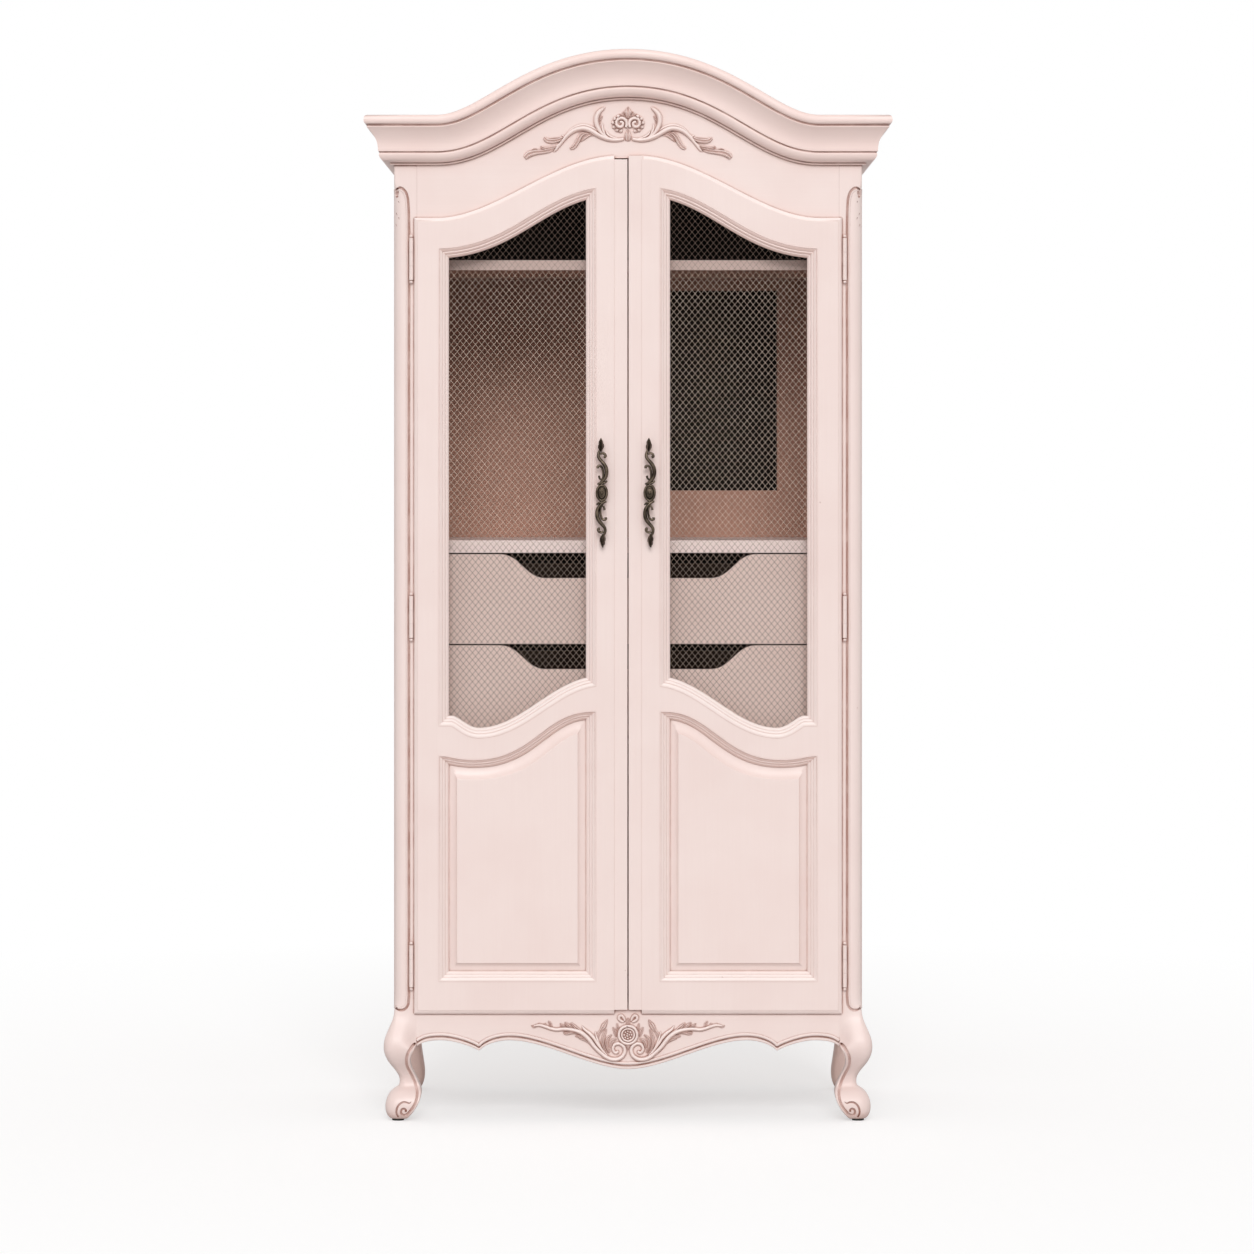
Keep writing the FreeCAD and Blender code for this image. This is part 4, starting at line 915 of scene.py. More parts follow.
@dataclass
class Chisel:
    """Carves strokes with a section on an upright plane, and bends round beads."""

    section: Section = Section.ROUND
    steps: int = 5
    sides: int = 3

    @staticmethod
    def smooth(data: bpy.types.Curve, places: list[tuple], radii: list[float]) -> None:
        """Adds a smooth run to a curve.

        Args:
            data: The curve.
            places: Its points in metres.
            radii: How thick it is at each of them.
        """
        run = data.splines.new("BEZIER")
        run.bezier_points.add(len(places) - 1)
        for point, place, radius in zip(run.bezier_points, places, radii):
            point.co = place
            point.radius = radius
            point.handle_left_type = "AUTO"
            point.handle_right_type = "AUTO"

    def gauge(self) -> bpy.types.Object:
        """Draws the section to bevel with.

        Returns:
            The section as a closed curve.
        """
        data = bpy.data.curves.new("gauge", "CURVE")
        data.dimensions = "2D"
        Bench.straight(data, [(across, up, 0.0) for across, up in self.section.value]).use_cyclic_u = True
        return Bench.placed("gauge", data)

    def carve(self, strokes: list[list[tuple]], depth: float, swell: float = 1.0) -> bpy.types.Object:
        """Lays strokes on the plane that faces the viewer.

        Args:
            strokes: Runs of points in millimetres, each across, up and half width.
            depth: Where the plane lies along Y, in metres.
            swell: How much fuller every stroke is.

        Returns:
            The strokes as one mesh.
        """
        gauge = self.gauge()
        data = bpy.data.curves.new("strokes", "CURVE")
        data.dimensions = "2D"
        data.fill_mode = "NONE"
        data.resolution_u = self.steps
        data.bevel_mode = "OBJECT"
        data.bevel_object = gauge
        data.use_fill_caps = True
        for stroke in strokes:
            places = [metres(across, up, 0.0) for across, up, _ in stroke]
            self.smooth(data, places, [swell * half / 1000 for _, _, half in stroke])
        piece = Bench.from_curve(data, depth)
        bpy.data.objects.remove(gauge)
        Bench.tidy(piece)
        return piece

    def bend(self, run: list[tuple]) -> bpy.types.Object:
        """Bends a round bead through points in space.

        Args:
            run: Points in millimetres, each X, Y, Z and radius.

        Returns:
            The bead as a mesh.
        """
        data = bpy.data.curves.new("bead", "CURVE")
        data.dimensions = "3D"
        data.resolution_u = self.steps
        data.bevel_depth = 0.001
        data.bevel_resolution = self.sides
        data.use_fill_caps = True
        self.smooth(data, [metres(*place) for *place, _ in run], [radius for *_, radius in run])
        piece = Bench.from_curve(data)
        Bench.tidy(piece)
        return piece


def reflected(strokes: list[list[tuple]]) -> list[list[tuple]]:
    """Strokes of the left half, followed by the same strokes on the right."""
    return strokes + [[(-across, up, half) for across, up, half in run] for run in strokes]


def volute(middle: Point, radii: Point, turns: float, start: float, widths: Point) -> list[tuple]:
    """A spiral stroke that winds inwards.

    Args:
        middle: The eye, across and up in millimetres.
        radii: The first and the last distance from the eye.
        turns: How often it winds; less than nothing winds the other way.
        start: The angle in degrees at which it starts.
        widths: The first and the last half width.

    Returns:
        The stroke's points.
    """
    count = max(6, int(abs(turns) * 9))
    points = []
    for step in range(count + 1):
        share = step / count
        angle = math.radians(start) + turns * share * math.tau
        radius = radii[0] + (radii[1] - radii[0]) * share
        half = widths[0] + (widths[1] - widths[0]) * share
        points.append((middle[0] + radius * math.cos(angle), middle[1] + radius * math.sin(angle), half))
    return points


class Loft:
    """A piece drawn out ring by ring."""

    CORNER_STEPS = 5

    @classmethod
    def outline(cls, low: Point, high: Point, radii: tuple) -> list[Point]:
        """A rectangle with rounded corners.

        Args:
            low: The front left corner in millimetres.
            high: The rear right corner.
            radii: The corner radii from the front left one on, anticlockwise from above.

        Returns:
            The points in order.
        """
        corners = ((low[0], low[1]), (high[0], low[1]), (high[0], high[1]), (low[0], high[1]))
        inwards = ((1, 1), (-1, 1), (-1, -1), (1, -1))
        points = []
        for number, (corner, inward, radius) in enumerate(zip(corners, inwards, radii)):
            middle = (corner[0] + inward[0] * radius, corner[1] + inward[1] * radius)
            for step in range(cls.CORNER_STEPS + 1):
                angle = math.radians(180.0 + 90.0 * (number + step / cls.CORNER_STEPS))
                points.append((middle[0] + radius * math.cos(angle), middle[1] + radius * math.sin(angle)))
        return points

    @staticmethod
    def shape(mesh: bpy.types.Mesh, places: dict[int, tuple]) -> None:
        """Moves the vertices of one ring to their places.

        Args:
            mesh: The mesh, in edit mode.
            places: A place in millimetres for each vertex.
        """
        grid = bmesh.from_edit_mesh(mesh)
        grid.verts.ensure_lookup_table()
        for index, place in places.items():
            grid.verts[index].co = Vector(place) / 1000
        bmesh.update_edit_mesh(mesh)

    @classmethod
    def draw(cls, rings: list[list[tuple]], capped: bool) -> bpy.types.Object:
        """Extrudes a first ring through all the others.

        Args:
            rings: Closed rings of as many points each, in millimetres.
            capped: Whether the two ends are closed; a ring that comes round to the first needs no ends.

        Returns:
            The piece.
        """
        count = len(rings[0])
        Bench.clear()
        ends = "NGON" if capped else "NOTHING"
        extrude = bpy.ops.mesh.extrude_region_move if capped else bpy.ops.mesh.extrude_edges_move
        bpy.ops.mesh.primitive_circle_add(vertices=count, radius=0.02, fill_type=ends)
        piece = bpy.context.object
        mesh = piece.data
        bpy.ops.object.mode_set(mode="EDIT")
        bpy.ops.mesh.select_all(action="SELECT")
        order = {index: index for index in range(count)}
        cls.shape(mesh, {index: rings[0][place] for index, place in order.items()})
        for ring in rings[1:]:
            extrude(TRANSFORM_OT_translate={"value": (0.0, 0.0, 0.001)})
            grid = bmesh.from_edit_mesh(mesh)
            fresh = {}
            for vertex in grid.verts:
                if vertex.select:
                    older = next(edge.other_vert(vertex) for edge in vertex.link_edges if not edge.select)
                    fresh[vertex.index] = order[older.index]
            order = fresh
            cls.shape(mesh, {index: ring[place] for index, place in order.items()})
        Bench.tidy(piece)
        return piece


def level_sweep(x: float, curve: tuple) -> float:
    """The height over one place of a curve that leaves and arrives level.

    Args:
        x: The place.
        curve: Its two ends, and how far each end keeps level, as shares of its run.

    Returns:
        The height, which stays level beyond the ends.
    """
    (x0, z0), (x1, z1), soft0, soft1 = curve
    run = x1 - x0
    low, high = 0.0, 1.0
    for _ in range(24):
        share = (low + high) / 2
        left = 1 - share
        across = 3 * share * left ** 2 * soft0 + 3 * share ** 2 * left * (1 - soft1) + share ** 3
        if across * run < x - x0:
            low = share
        else:
            high = share
    return z0 + (z1 - z0) * (3 * share ** 2 * (1 - share) + share ** 3)


def held(share: float) -> float:
    """A share held between none and all."""
    return max(0.0, min(1.0, share))


def stepped(start: float, end: float, count: int) -> list[float]:
    """Evenly spaced places from the start to the end, both counted."""
    return [start + (end - start) * step / count for step in range(count + 1)]


class DoorLines:
    """The outlines of the left door, anticlockwise, in millimetres."""

    LEFT, RIGHT = -374.0, -68.2
    HEAD = ((-384.0, 1739.5), (-27.2, 1863.5), 0.45, 0.40)
    HEAD_STEPS = (RIGHT, LEFT, 30)
    EAR = ((-354.0, 793.5), (-298.0, 769.2), 0.15, 0.5)
    EAR_STEPS = (-353.0, -300.0, 14)
    RISE = ((-298.0, 769.2), (-52.2, 873.2), 0.38, 0.36)
    RISE_STEPS = (-290.0, RIGHT, 26)
    PANEL_EAR = ((-374.0, 726.4), (-306.0, 718.8), 0.3, 0.6)
    PANEL_RISE = ((-306.0, 718.8), (-72.0, 815.2), 0.5, 0.4)
    PANEL_BASE = 283.0
    PANEL_STEPS = 36
    MOULDED = 15.0
    NARROW, WIDE = 0.78, 1.43
    MEETING = -27.2
    FACE_SIDE, FACE_FOOT = -427.5, 213.5
    TOP = ((-382.0, 1804.5), (-16.0, 1929.5), 0.32, 0.36)
    INNER_SIDE, INNER_FOOT = -419.0, 222.0
    INNER_TOP = ((-382.0, 1796.0), (-16.0, 1921.0), 0.32, 0.36)
    STRIP_SIDE = -1.2
    TOP_STEPS = 30

    @classmethod
    def sill(cls, x: float) -> float:
        """The height of the mid rail under the wire."""
        return level_sweep(x, cls.EAR if x < cls.RISE[0][0] else cls.RISE)

    @classmethod
    def upper(cls, inset: float = 0.0) -> list[Point]:
        """The wire's opening.

        Args:
            inset: How far it is drawn in.

        Returns:
            The outline.
        """
        places = [cls.LEFT, *stepped(*cls.EAR_STEPS), *stepped(*cls.RISE_STEPS)]
        base = [(x, cls.sill(x)) for x in places]
        head = [(x, level_sweep(x, cls.HEAD)) for x in stepped(*cls.HEAD_STEPS)]
        return cls.drawn_in(base + head, inset)

    @classmethod
    def arch(cls, x: float) -> float:
        """The height of the mid rail over the panel."""
        return level_sweep(x, cls.PANEL_EAR if x < cls.PANEL_RISE[0][0] else cls.PANEL_RISE)

    @classmethod
    def lower(cls, inset: float = 0.0) -> list[Point]:
        """The panel's opening, where the head has a narrow moulding and a wide cove.

        Args:
            inset: How far it is drawn in at the sides and the base.

        Returns:
            The outline.
        """
        left, right = cls.LEFT + inset, cls.RIGHT - inset
        below = cls.NARROW * min(inset, cls.MOULDED) + cls.WIDE * max(0.0, inset - cls.MOULDED)
        head = []
        for x in stepped(right, left, cls.PANEL_STEPS):
            slope = cls.arch(x + 0.5) - cls.arch(x - 0.5)
            head.append((x, cls.arch(x) - below * math.hypot(1.0, slope)))
        return [(left, cls.PANEL_BASE + inset), (right, cls.PANEL_BASE + inset), *head]

    @classmethod
    def face(cls) -> list[Point]:
        """The lipped face.

        Returns:
            The outline.
        """
        side, level = cls.TOP[0]
        arch = [(x, level_sweep(x, cls.TOP)) for x in stepped(cls.MEETING, side, cls.TOP_STEPS)]
        foot = [(cls.FACE_SIDE, cls.FACE_FOOT), (cls.MEETING, cls.FACE_FOOT)]
        return [*foot, *arch, (cls.FACE_SIDE, level)]

    @classmethod
    def inner(cls) -> list[Point]:
        """The layer behind the face, with the strip that meets the other door.

        Returns:
            The outline.
        """
        (side, level), (crown, high) = cls.INNER_TOP[:2]
        arch = [(x, level_sweep(x, cls.INNER_TOP)) for x in stepped(crown, side, cls.TOP_STEPS)]
        strip = [(cls.STRIP_SIDE, cls.INNER_FOOT), (cls.STRIP_SIDE, high)]
        return [(cls.INNER_SIDE, cls.INNER_FOOT), *strip, *arch, (cls.INNER_SIDE, level)]

    @staticmethod
    def drawn_in(points: list[Point], inset: float) -> list[Point]:
        """An outline drawn in by some distance, mitred at its corners.

        Args:
            points: The outline.
            inset: The distance; less than nothing draws it out.

        Returns:
            As many points, where those that would pass a corner stay on it.
        """
        moved = []
        corners = []
        for number, (x, z) in enumerate(points):
            normals = []
            for (x0, z0), (x1, z1) in (
                (points[number - 1], (x, z)),
                ((x, z), points[(number + 1) % len(points)]),
            ):
                run = math.hypot(x1 - x0, z1 - z0)
                normals.append(((z0 - z1) / run, (x1 - x0) / run))
            (ax, az), (bx, bz) = normals
            alike = ax * bx + az * bz
            scale = inset / (1 + alike)
            moved.append((x + scale * (ax + bx), z + scale * (az + bz)))
            if alike < 0.5:
                corners.append(moved[-1])
        low = min(x for x, _ in corners)
        high = max(x for x, _ in corners)
        kept = []
        for x, z in moved:
            if low < x < high:
                kept.append((x, z))
            else:
                kept.append(min(corners, key=lambda corner: math.dist(corner, (x, z))))
        return kept


@dataclass
class Door:
    """A lipped door: one smooth frame, two stepped mouldings and a coved panel."""

    wardrobe: "Wardrobe"
    face: float = -232.6
    lip_back: float = -221.6
    back: float = -210.6
    lip_width: float = 7.8
    meeting_share: float = 0.1
    strip_front: float = -231.7
    strip_tuck: Point = (2.8, 0.5)
    strip_round: float = 0.7
    strip_tops: Point = (1921.0, 1928.4)
    crease: float = 25.0

    LIP = (
        (0.0, 11.0), (0.0, 6.2), (0.4, 5.2), (1.4, 4.1), (3.0, 3.0), (5.0, 2.0), (7.6, 1.2), (8.4, 1.2),
        (8.4, 11.0), (0.0, 11.0),
    )
    MOULDING = (
        (-4.6, 0.4), (-4.5, -0.6), (-4.0, -1.0), (-3.1, -0.95), (-2.8, -0.1, -0.75), (-1.6, -0.1, -0.7),
        (-1.3, -0.75), (0.6, 0.0), (2.6, 1.1), (3.4, 1.9), (3.9, 2.7), (4.4, 2.6), (5.4, 2.4), (7.0, 3.0),
        (8.4, 4.0), (9.2, 5.0), (9.7, 5.8), (10.2, 5.7), (11.2, 5.7), (13.0, 6.6), (14.8, 8.0), (15.8, 9.4),
        (16.0, 10.4), (16.0, 12.2), (1.0, 12.2), (1.0, 0.4), (-4.6, 0.4),
    )
    PANEL = (
        (2.0, 20.0), (2.0, 12.0), (15.0, 11.8), (18.0, 11.7), (21.0, 11.2), (24.0, 10.3), (26.6, 9.1),
        (28.8, 7.6), (30.6, 5.9), (31.8, 4.4), (32.2, 3.8), (32.3, 2.9), (32.8, 2.6), (34.5, 2.6),
    )

    def rings(self, outline: Callable[[float], list[Point]], profile: tuple) -> list[list[tuple]]:
        """Rings round an outline, one for each point of a section.

        Args:
            outline: Gives the outline drawn in by some distance.
            profile: The section, as distances and depths, some with another depth in the lower half.

        Returns:
            The rings.
        """
        rows = []
        for inset, *depths in profile:
            ring = outline(inset)
            middle = (max(z for _, z in ring) + min(z for _, z in ring)) / 2
            rows.append([(x, self.face + depths[0 if z > middle else -1], z) for x, z in ring])
        return rows

    def lipped(self, inset: float) -> list[Point]:
        """The face's outline, hardly drawn in at the side that meets the other door.

        Args:
            inset: How far the other sides are drawn in.

        Returns:
            The outline.
        """
        edge = DoorLines.MEETING
        ring = DoorLines.drawn_in(DoorLines.face(), inset)
        return [(edge - self.meeting_share * inset if x > edge - inset - 0.05 else x, z) for x, z in ring]

    def strip(self, top: float) -> bpy.types.Object:
        """The strip of the left door that meets the other one.

        Args:
            top: How high it stands.

        Returns:
            The strip.
        """
        across, behind = self.strip_tuck
        low = (DoorLines.MEETING - across, self.strip_front, DoorLines.INNER_FOOT)
        high = (DoorLines.STRIP_SIDE, self.lip_back + behind, top)
        strip = Bench.block(metres(*low), metres(*high))
        Bench.modify(strip, "BEVEL", width=self.strip_round / 1000, segments=2)
        return strip

    def frame(self, strip_top: float) -> bpy.types.Object:
        """The left door's frame with its lip and its meeting strip.

        Args:
            strip_top: How high the strip stands.

        Returns:
            The frame.
        """
        holes = [DoorLines.upper(), DoorLines.lower()]
        front = Bench.board([self.lipped(self.lip_width), *holes], (self.face, self.lip_back))
        behind = Bench.board([DoorLines.inner(), *holes], (self.lip_back, self.back))
        lip = Loft.draw(self.rings(self.lipped, self.LIP), False)
        return Bench.join("door_frame", [front, behind, self.strip(strip_top), lip])

    def build_door(self, door: str, strip_top: float, mirror: bool) -> None:
        """Builds the pieces of one door.

        Args:
            door: The door's body.
            strip_top: How high its meeting strip stands.
            mirror: Whether the left door's shapes are turned over to the right.
        """
        paint = self.wardrobe.upright
        edges = self.wardrobe.moulded
        bars = ("hinge_stile", "meeting_stile", "top_rail", "mid_rail", "bottom_rail")
        upper = Loft.draw(self.rings(DoorLines.upper, self.MOULDING), False)
        lower = Loft.draw(self.rings(DoorLines.lower, self.MOULDING), False)
        panel = Loft.draw(self.rings(DoorLines.lower, self.PANEL), True)
        for name, piece, finish, nodes in (
            ("frame", self.frame(strip_top), self.wardrobe.doors, bars),
            ("wire_moulding", upper, edges, ("mesh_moulding",)),
            ("panel_moulding", lower, edges, ("panel_moulding",)),
            ("coved_panel", panel, paint, ("raised_panel",)),
        ):
            if mirror:
                piece = Bench.turned_over(piece)
            stood_for = [f"{door}_{node}" for node in nodes]
            shaped = f"{door}_{name}_shaped"
            Bench.seat(piece, shaped, door, "painted_wood", finish, *stood_for, crease=self.crease)

    def build(self) -> None:
        """Builds both doors; the right one's strip closes up to the frieze."""
        left_top, right_top = self.strip_tops
        self.build_door("left_door", left_top, False)
        self.build_door("right_door", right_top, True)


@dataclass
class Cornice:
    """The arched cornice: a bed bead, a cove and a fat top bead, parted by quirks."""

    wardrobe: "Wardrobe"
    half_body: float = 468.0
    front: float = -221.0
    rear: float = 279.0
    base: float = 1911.0
    level_from: float = -430.0
    steps: int = 30

    LINE = ((-382.0, 1911.0), (0.0, 2042.0), 0.35, 0.47)
    SECTION = (
        (0.0, -1.0), (6.5, -1.0), (7.6, -0.2), (7.6, 2.2), (6.4, 2.9), (7.4, 3.5), (12.5, 4.0), (18.5, 5.6),
        (23.5, 8.6), (27.0, 12.6), (28.8, 17.0), (29.0, 20.4), (28.4, 21.8), (26.6, 22.6), (26.6, 24.2),
        (29.6, 24.8), (30.4, 25.8), (30.6, 30.0), (31.0, 36.0), (32.4, 43.5), (35.6, 51.0), (40.2, 58.6),
        (45.4, 65.4), (50.2, 70.6), (51.8, 71.8), (52.0, 73.8), (49.8, 75.0), (49.8, 76.8), (53.2, 77.6),
        (56.2, 79.8), (57.7, 83.0), (58.0, 87.0), (57.4, 91.0), (55.2, 94.2), (51.6, 96.0), (0.0, 96.0),
    )

    def across(self, place: Point, lean: Point) -> list[tuple]:
        """The section on the front, over a place of the line and along its normal."""
        (x, z), (lean_x, lean_z) = place, lean
        return [(x + lean_x * up, self.front - out, z + lean_z * up) for out, up in self.SECTION]

    def left_half(self) -> list[list[tuple]]:
        """Carries the section from the rear end round the corner to just before the crown.

        Returns:
            The rings.
        """
        rings = [[(-self.half_body - out, self.rear, self.base + up) for out, up in self.SECTION]]
        rings.append([(-self.half_body - out, self.front - out, self.base + up) for out, up in self.SECTION])
        rings.append(self.across((self.level_from, self.base), (0.0, 1.0)))
        small = 0.5
        for x in stepped(self.LINE[0][0], self.LINE[1][0], self.steps)[:-1]:
            rise = level_sweep(x + small, self.LINE) - level_sweep(x - small, self.LINE)
            size = math.hypot(rise, 2 * small)
            rings.append(self.across((x, level_sweep(x, self.LINE)), (-rise / size, 2 * small / size)))
        return rings

    def build(self) -> None:
        """Runs the section round three sides."""
        left = self.left_half()
        crown = self.across(self.LINE[1], (0.0, 1.0))
        right = [[(-x, y, z) for x, y, z in ring] for ring in reversed(left)]
        piece = Loft.draw([*left, crown, *right], True)
        nodes = ("cornice_front", "cornice_left", "cornice_right")
        Bench.seat(piece, "cornice_moulded", "carcass", "painted_wood", self.wardrobe.crown, *nodes)


def dropped(path: list[tuple], target: bpy.types.Object, towards: tuple, sink: float) -> list[tuple]:
    """Drops a path on a piece's surface.

    Args:
        path: Points in millimetres, each X, Y, Z and radius.
        target: The piece.
        towards: The way the points fall.
        sink: How far below the surface they end, in millimetres.

    Returns:
        The path on the surface, without the points that miss it.
    """
    way = Vector(towards)
    landed = []
    for x, y, z, radius in path:
        start = Vector((x, y, z)) / 1000 - way
        found, place, _, _ = target.ray_cast(start, way)
        if found:
            landed.append((*((place + way * sink / 1000) * 1000), radius))
    return landed


def shifted(path: list[Point], distance: float) -> list[Point]:
    """Moves an open path to its right-hand side.

    Args:
        path: The path.
        distance: How far it moves.

    Returns:
        As many points.
    """
    moved = []
    for number, (x, z) in enumerate(path):
        (x0, z0), (x1, z1) = path[max(0, number - 1)], path[min(len(path) - 1, number + 1)]
        run = math.hypot(x1 - x0, z1 - z0)
        moved.append((x + distance * (z1 - z0) / run, z - distance * (x1 - x0) / run))
    return moved


def grooved(piece: bpy.types.Object, path: list[tuple]) -> None:
    """Cuts a round groove into a piece.

    Args:
        piece: The piece.
        path: The groove in millimetres, each point X, Y, Z and radius.
    """
    tool = Chisel(steps=6).bend(path)
    Bench.modify(piece, "BOOLEAN", operation="DIFFERENCE", object=tool, solver="EXACT")
    bpy.data.objects.remove(tool)


@dataclass
class FrontPost:
    """A front post with its carved corner panel, bowed leg and scrolled foot."""

    wardrobe: "Wardrobe"
    half_body: float = 468.0
    half_opening: float = 422.0
    front: float = -221.0
    back: float = -175.0
    top: float = 1985.0
    panel: Point = (219.0, 1864.0)
    rim_place: float = -437.8
    rim_radius: float = 1.9
    groove_radius: float = 2.7
    lip_radii: Point = (3.1, 2.2)
    vein_radii: Point = (1.1, 0.3)
    sink: float = 0.8
    ease: float = 30.0
    knee: float = 140.0
    knee_run: float = 16.0
    shaft: float = 214.0
    shaft_run: float = 60.0
    arris: float = 0.6

    LEG = (
        (3.0, -474.0, -443.0, 13.0), (6.0, -478.0, -440.0, 16.0), (12.0, -482.5, -434.0, 19.0),
        (20.0, -485.4, -427.5, 22.0), (30.0, -486.0, -421.0, 24.0), (40.0, -484.6, -416.3, 24.0),
        (49.0, -480.8, -413.8, 23.0), (56.0, -475.4, -413.2, 21.0), (60.5, -470.2, -413.8, 19.0),
        (63.5, -464.6, -414.6, 17.0), (66.0, -460.4, -415.4, 15.0), (70.0, -458.4, -417.0, 13.0),
        (77.0, -457.4, -420.2, 12.0), (85.0, -458.4, -423.6, 12.0), (94.0, -462.6, -428.0, 12.0),
        (104.0, -469.6, -432.4, 13.0), (115.0, -478.4, -435.3, 15.0), (127.0, -485.0, -434.4, 17.0),
        (138.0, -488.2, -430.0, 18.0), (146.0, -488.9, -425.2, 19.0), (154.0, -488.6, -422.0, 19.0),
        (164.0, -486.9, -422.0, 18.0), (176.0, -482.0, -422.0, 16.0), (190.0, -475.6, -422.0, 12.0),
        (203.0, -470.2, -422.0, 8.0), (214.0, -468.0, -422.0, 6.0),
    )
    LIP = (
        (-422.5, 155.5), (-431.5, 149.5), (-437.5, 140.5), (-441.5, 130.0), (-442.6, 119.0), (-440.6, 107.0),
        (-435.8, 96.0), (-430.6, 85.0), (-426.2, 74.0), (-422.4, 62.0), (-421.4, 52.0), (-423.6, 40.0),
        (-429.0, 29.0), (-436.0, 20.0), (-443.5, 13.6), (-450.5, 14.0), (-453.0, 20.0), (-449.5, 25.4),
        (-443.8, 24.0), (-443.6, 19.4),
    )
    VOLUTE = (
        (-431.5, 42.0, 0.7), (-436.0, 36.5, 1.4), (-442.0, 38.0, 2.0), (-448.6, 38.4, 2.2),
        (-456.0, 34.5, 2.3), (-461.0, 26.5, 2.3), (-462.0, 17.0, 2.2), (-458.6, 8.4, 1.8),
    )
    BEAD_START = 3
    EASE = (0.0, 0.3, 0.6, 0.85, 0.97, 1.0)
    HOOK = (
        (-460.5, 1846.0), (-464.0, 1852.0), (-463.5, 1860.0), (-456.0, 1865.0), (-447.0, 1860.0),
        (-441.0, 1848.0), (-439.0, 1832.0),
    )
    FOOT = ((-438.5, 238.0), (-440.5, 229.0), (-447.0, 222.0), (-456.0, 220.5), (-465.0, 224.5))
    VEINS = (
        ((-459.0, 1838.0), (-454.5, 1829.0)), ((-463.0, 1815.0), (-457.0, 1796.0)),
        ((-458.5, 1806.0), (-453.5, 1789.0)), ((-464.0, 1793.0), (-459.5, 1778.0)),
    )

    def eased(self, ring: list[Point], low: Point, inner: float, share: float) -> list[Point]:
        """A ring whose inner front corner falls back softly to the apron's plane.

        Args:
            ring: The ring with a tight corner there.
            low: Its front left corner.
            inner: Its inner side.
            share: How far the corner is eased, up to 1.

        Returns:
            As many points.
        """
        count = Loft.CORNER_STEPS + 1
        soft = list(ring)
        for number, place in enumerate(self.EASE):
            fall = (1 - math.cos(math.pi * place)) / 2
            x = inner - self.ease * (1 - place)
            y = low[1] + (self.front - low[1]) * fall
            tight = ring[count + number]
            soft[count + number] = (tight[0] + (x - tight[0]) * share, tight[1] + (y - tight[1]) * share)
        return soft

    def rings(self) -> list[list[tuple]]:
        """The post's outlines from the foot up to the cornice.

        Returns:
            The rings.
        """
        rings = []
        for height, outer, inner, corner in self.LEG:
            out = outer + self.half_body
            into = inner + self.half_opening
            low = (outer, self.front + out)
            high = (inner, self.back + into)
            rounded = held((self.shaft - height) / self.shaft_run)
            inner_corner = self.arris + (0.8 * corner - self.arris) * rounded
            lip_corner = self.arris + 2.6 * rounded
            ring = Loft.outline(low, high, (corner, lip_corner, inner_corner, inner_corner))
            ring = self.eased(ring, low, inner, held((height - self.knee) / self.knee_run))
            rings.append([(x, y, height) for x, y in ring])
        low, high = (-self.half_body, self.front), (-self.half_opening, self.back)
        bottom, top = self.panel
        for height, corner in (
            (bottom + 7, 13.0), (bottom + 20, 20.0), (bottom + 50, 20.0), (700.0, 20.0), (1300.0, 20.0),
            (top - 50, 20.0), (top - 16, 20.0), (top - 3, 13.0), (top + 5, 5.0), (top + 18, 4.0),
            (self.top, 4.0),
        ):
            ring = Loft.outline(low, high, (corner, self.arris, self.arris, self.arris))
            rings.append([(x, y, height) for x, y in ring])
        return rings

    def rim(self) -> list[tuple]:
        """The outline of the corner panel as the front shows it."""
        upright = [(self.rim_place, height) for height in (1800.0, 1500.0, 1100.0, 700.0, 400.0, 270.0)]
        return [*self.HOOK, *upright, *self.FOOT]

    def before(self, path: list[Point], radius: float) -> list[tuple]:
        """A path before the front, as X, Y, Z and radius."""
        return [(x, self.front, z, radius) for x, z in path]

    def beside(self, path: list[Point], radius: float) -> list[tuple]:
        """A front path turned round the corner to the outer side, as X, Y, Z and radius."""
        return [(-self.half_body, self.front + (x + self.half_body), z, radius) for x, z in path]

    def build_left(self) -> bpy.types.Object:
        """Draws the left post, cuts its grooves and lays its beads.

        Returns:
            The post.
        """
        post = Loft.draw(self.rings(), True)
        Bench.modify(post, "SUBSURF", levels=2, render_levels=2)
        ahead, across = (0.0, 1.0, 0.0), (1.0, 0.0, 0.0)
        rim = self.rim()
        inner = shifted(rim[self.BEAD_START:], self.groove_radius + self.rim_radius - 0.3)
        beads = []
        for way, lay in ((ahead, self.before), (across, self.beside)):
            groove = dropped(lay(rim, self.groove_radius), post, way, self.sink)
            bead = dropped(lay(inner, self.rim_radius), post, way, 0.4 * self.rim_radius)
            beads.append(Chisel(steps=6).bend(bead))
            grooved(post, groove)
        wide, narrow = self.lip_radii
        count = len(self.LIP) - 1
        slims = [max(0.0, 2 * number / count - 1) for number in range(count + 1)]
        cuts = [[(x, z, wide + (narrow - wide) * slim) for (x, z), slim in zip(self.LIP, slims)], self.VOLUTE]
        cuts += [[(x, z, radius) for (x, z), radius in zip(vein, self.vein_radii)] for vein in self.VEINS]
        for cut in cuts:
            path = dropped([(x, self.front, z, radius) for x, z, radius in cut], post, ahead, self.sink)
            grooved(post, path)
        return Bench.join("front_left_post", [post, *beads])

    def build(self) -> None:
        """Makes the left post and its twin on the right."""
        left = self.build_left()
        right = Bench.mirrored(left)
        for piece, name in ((left, "front_left_post"), (right, "front_right_post")):
            Bench.seat(piece, name + "_carved", "carcass", "painted_wood", self.wardrobe.turned, name)


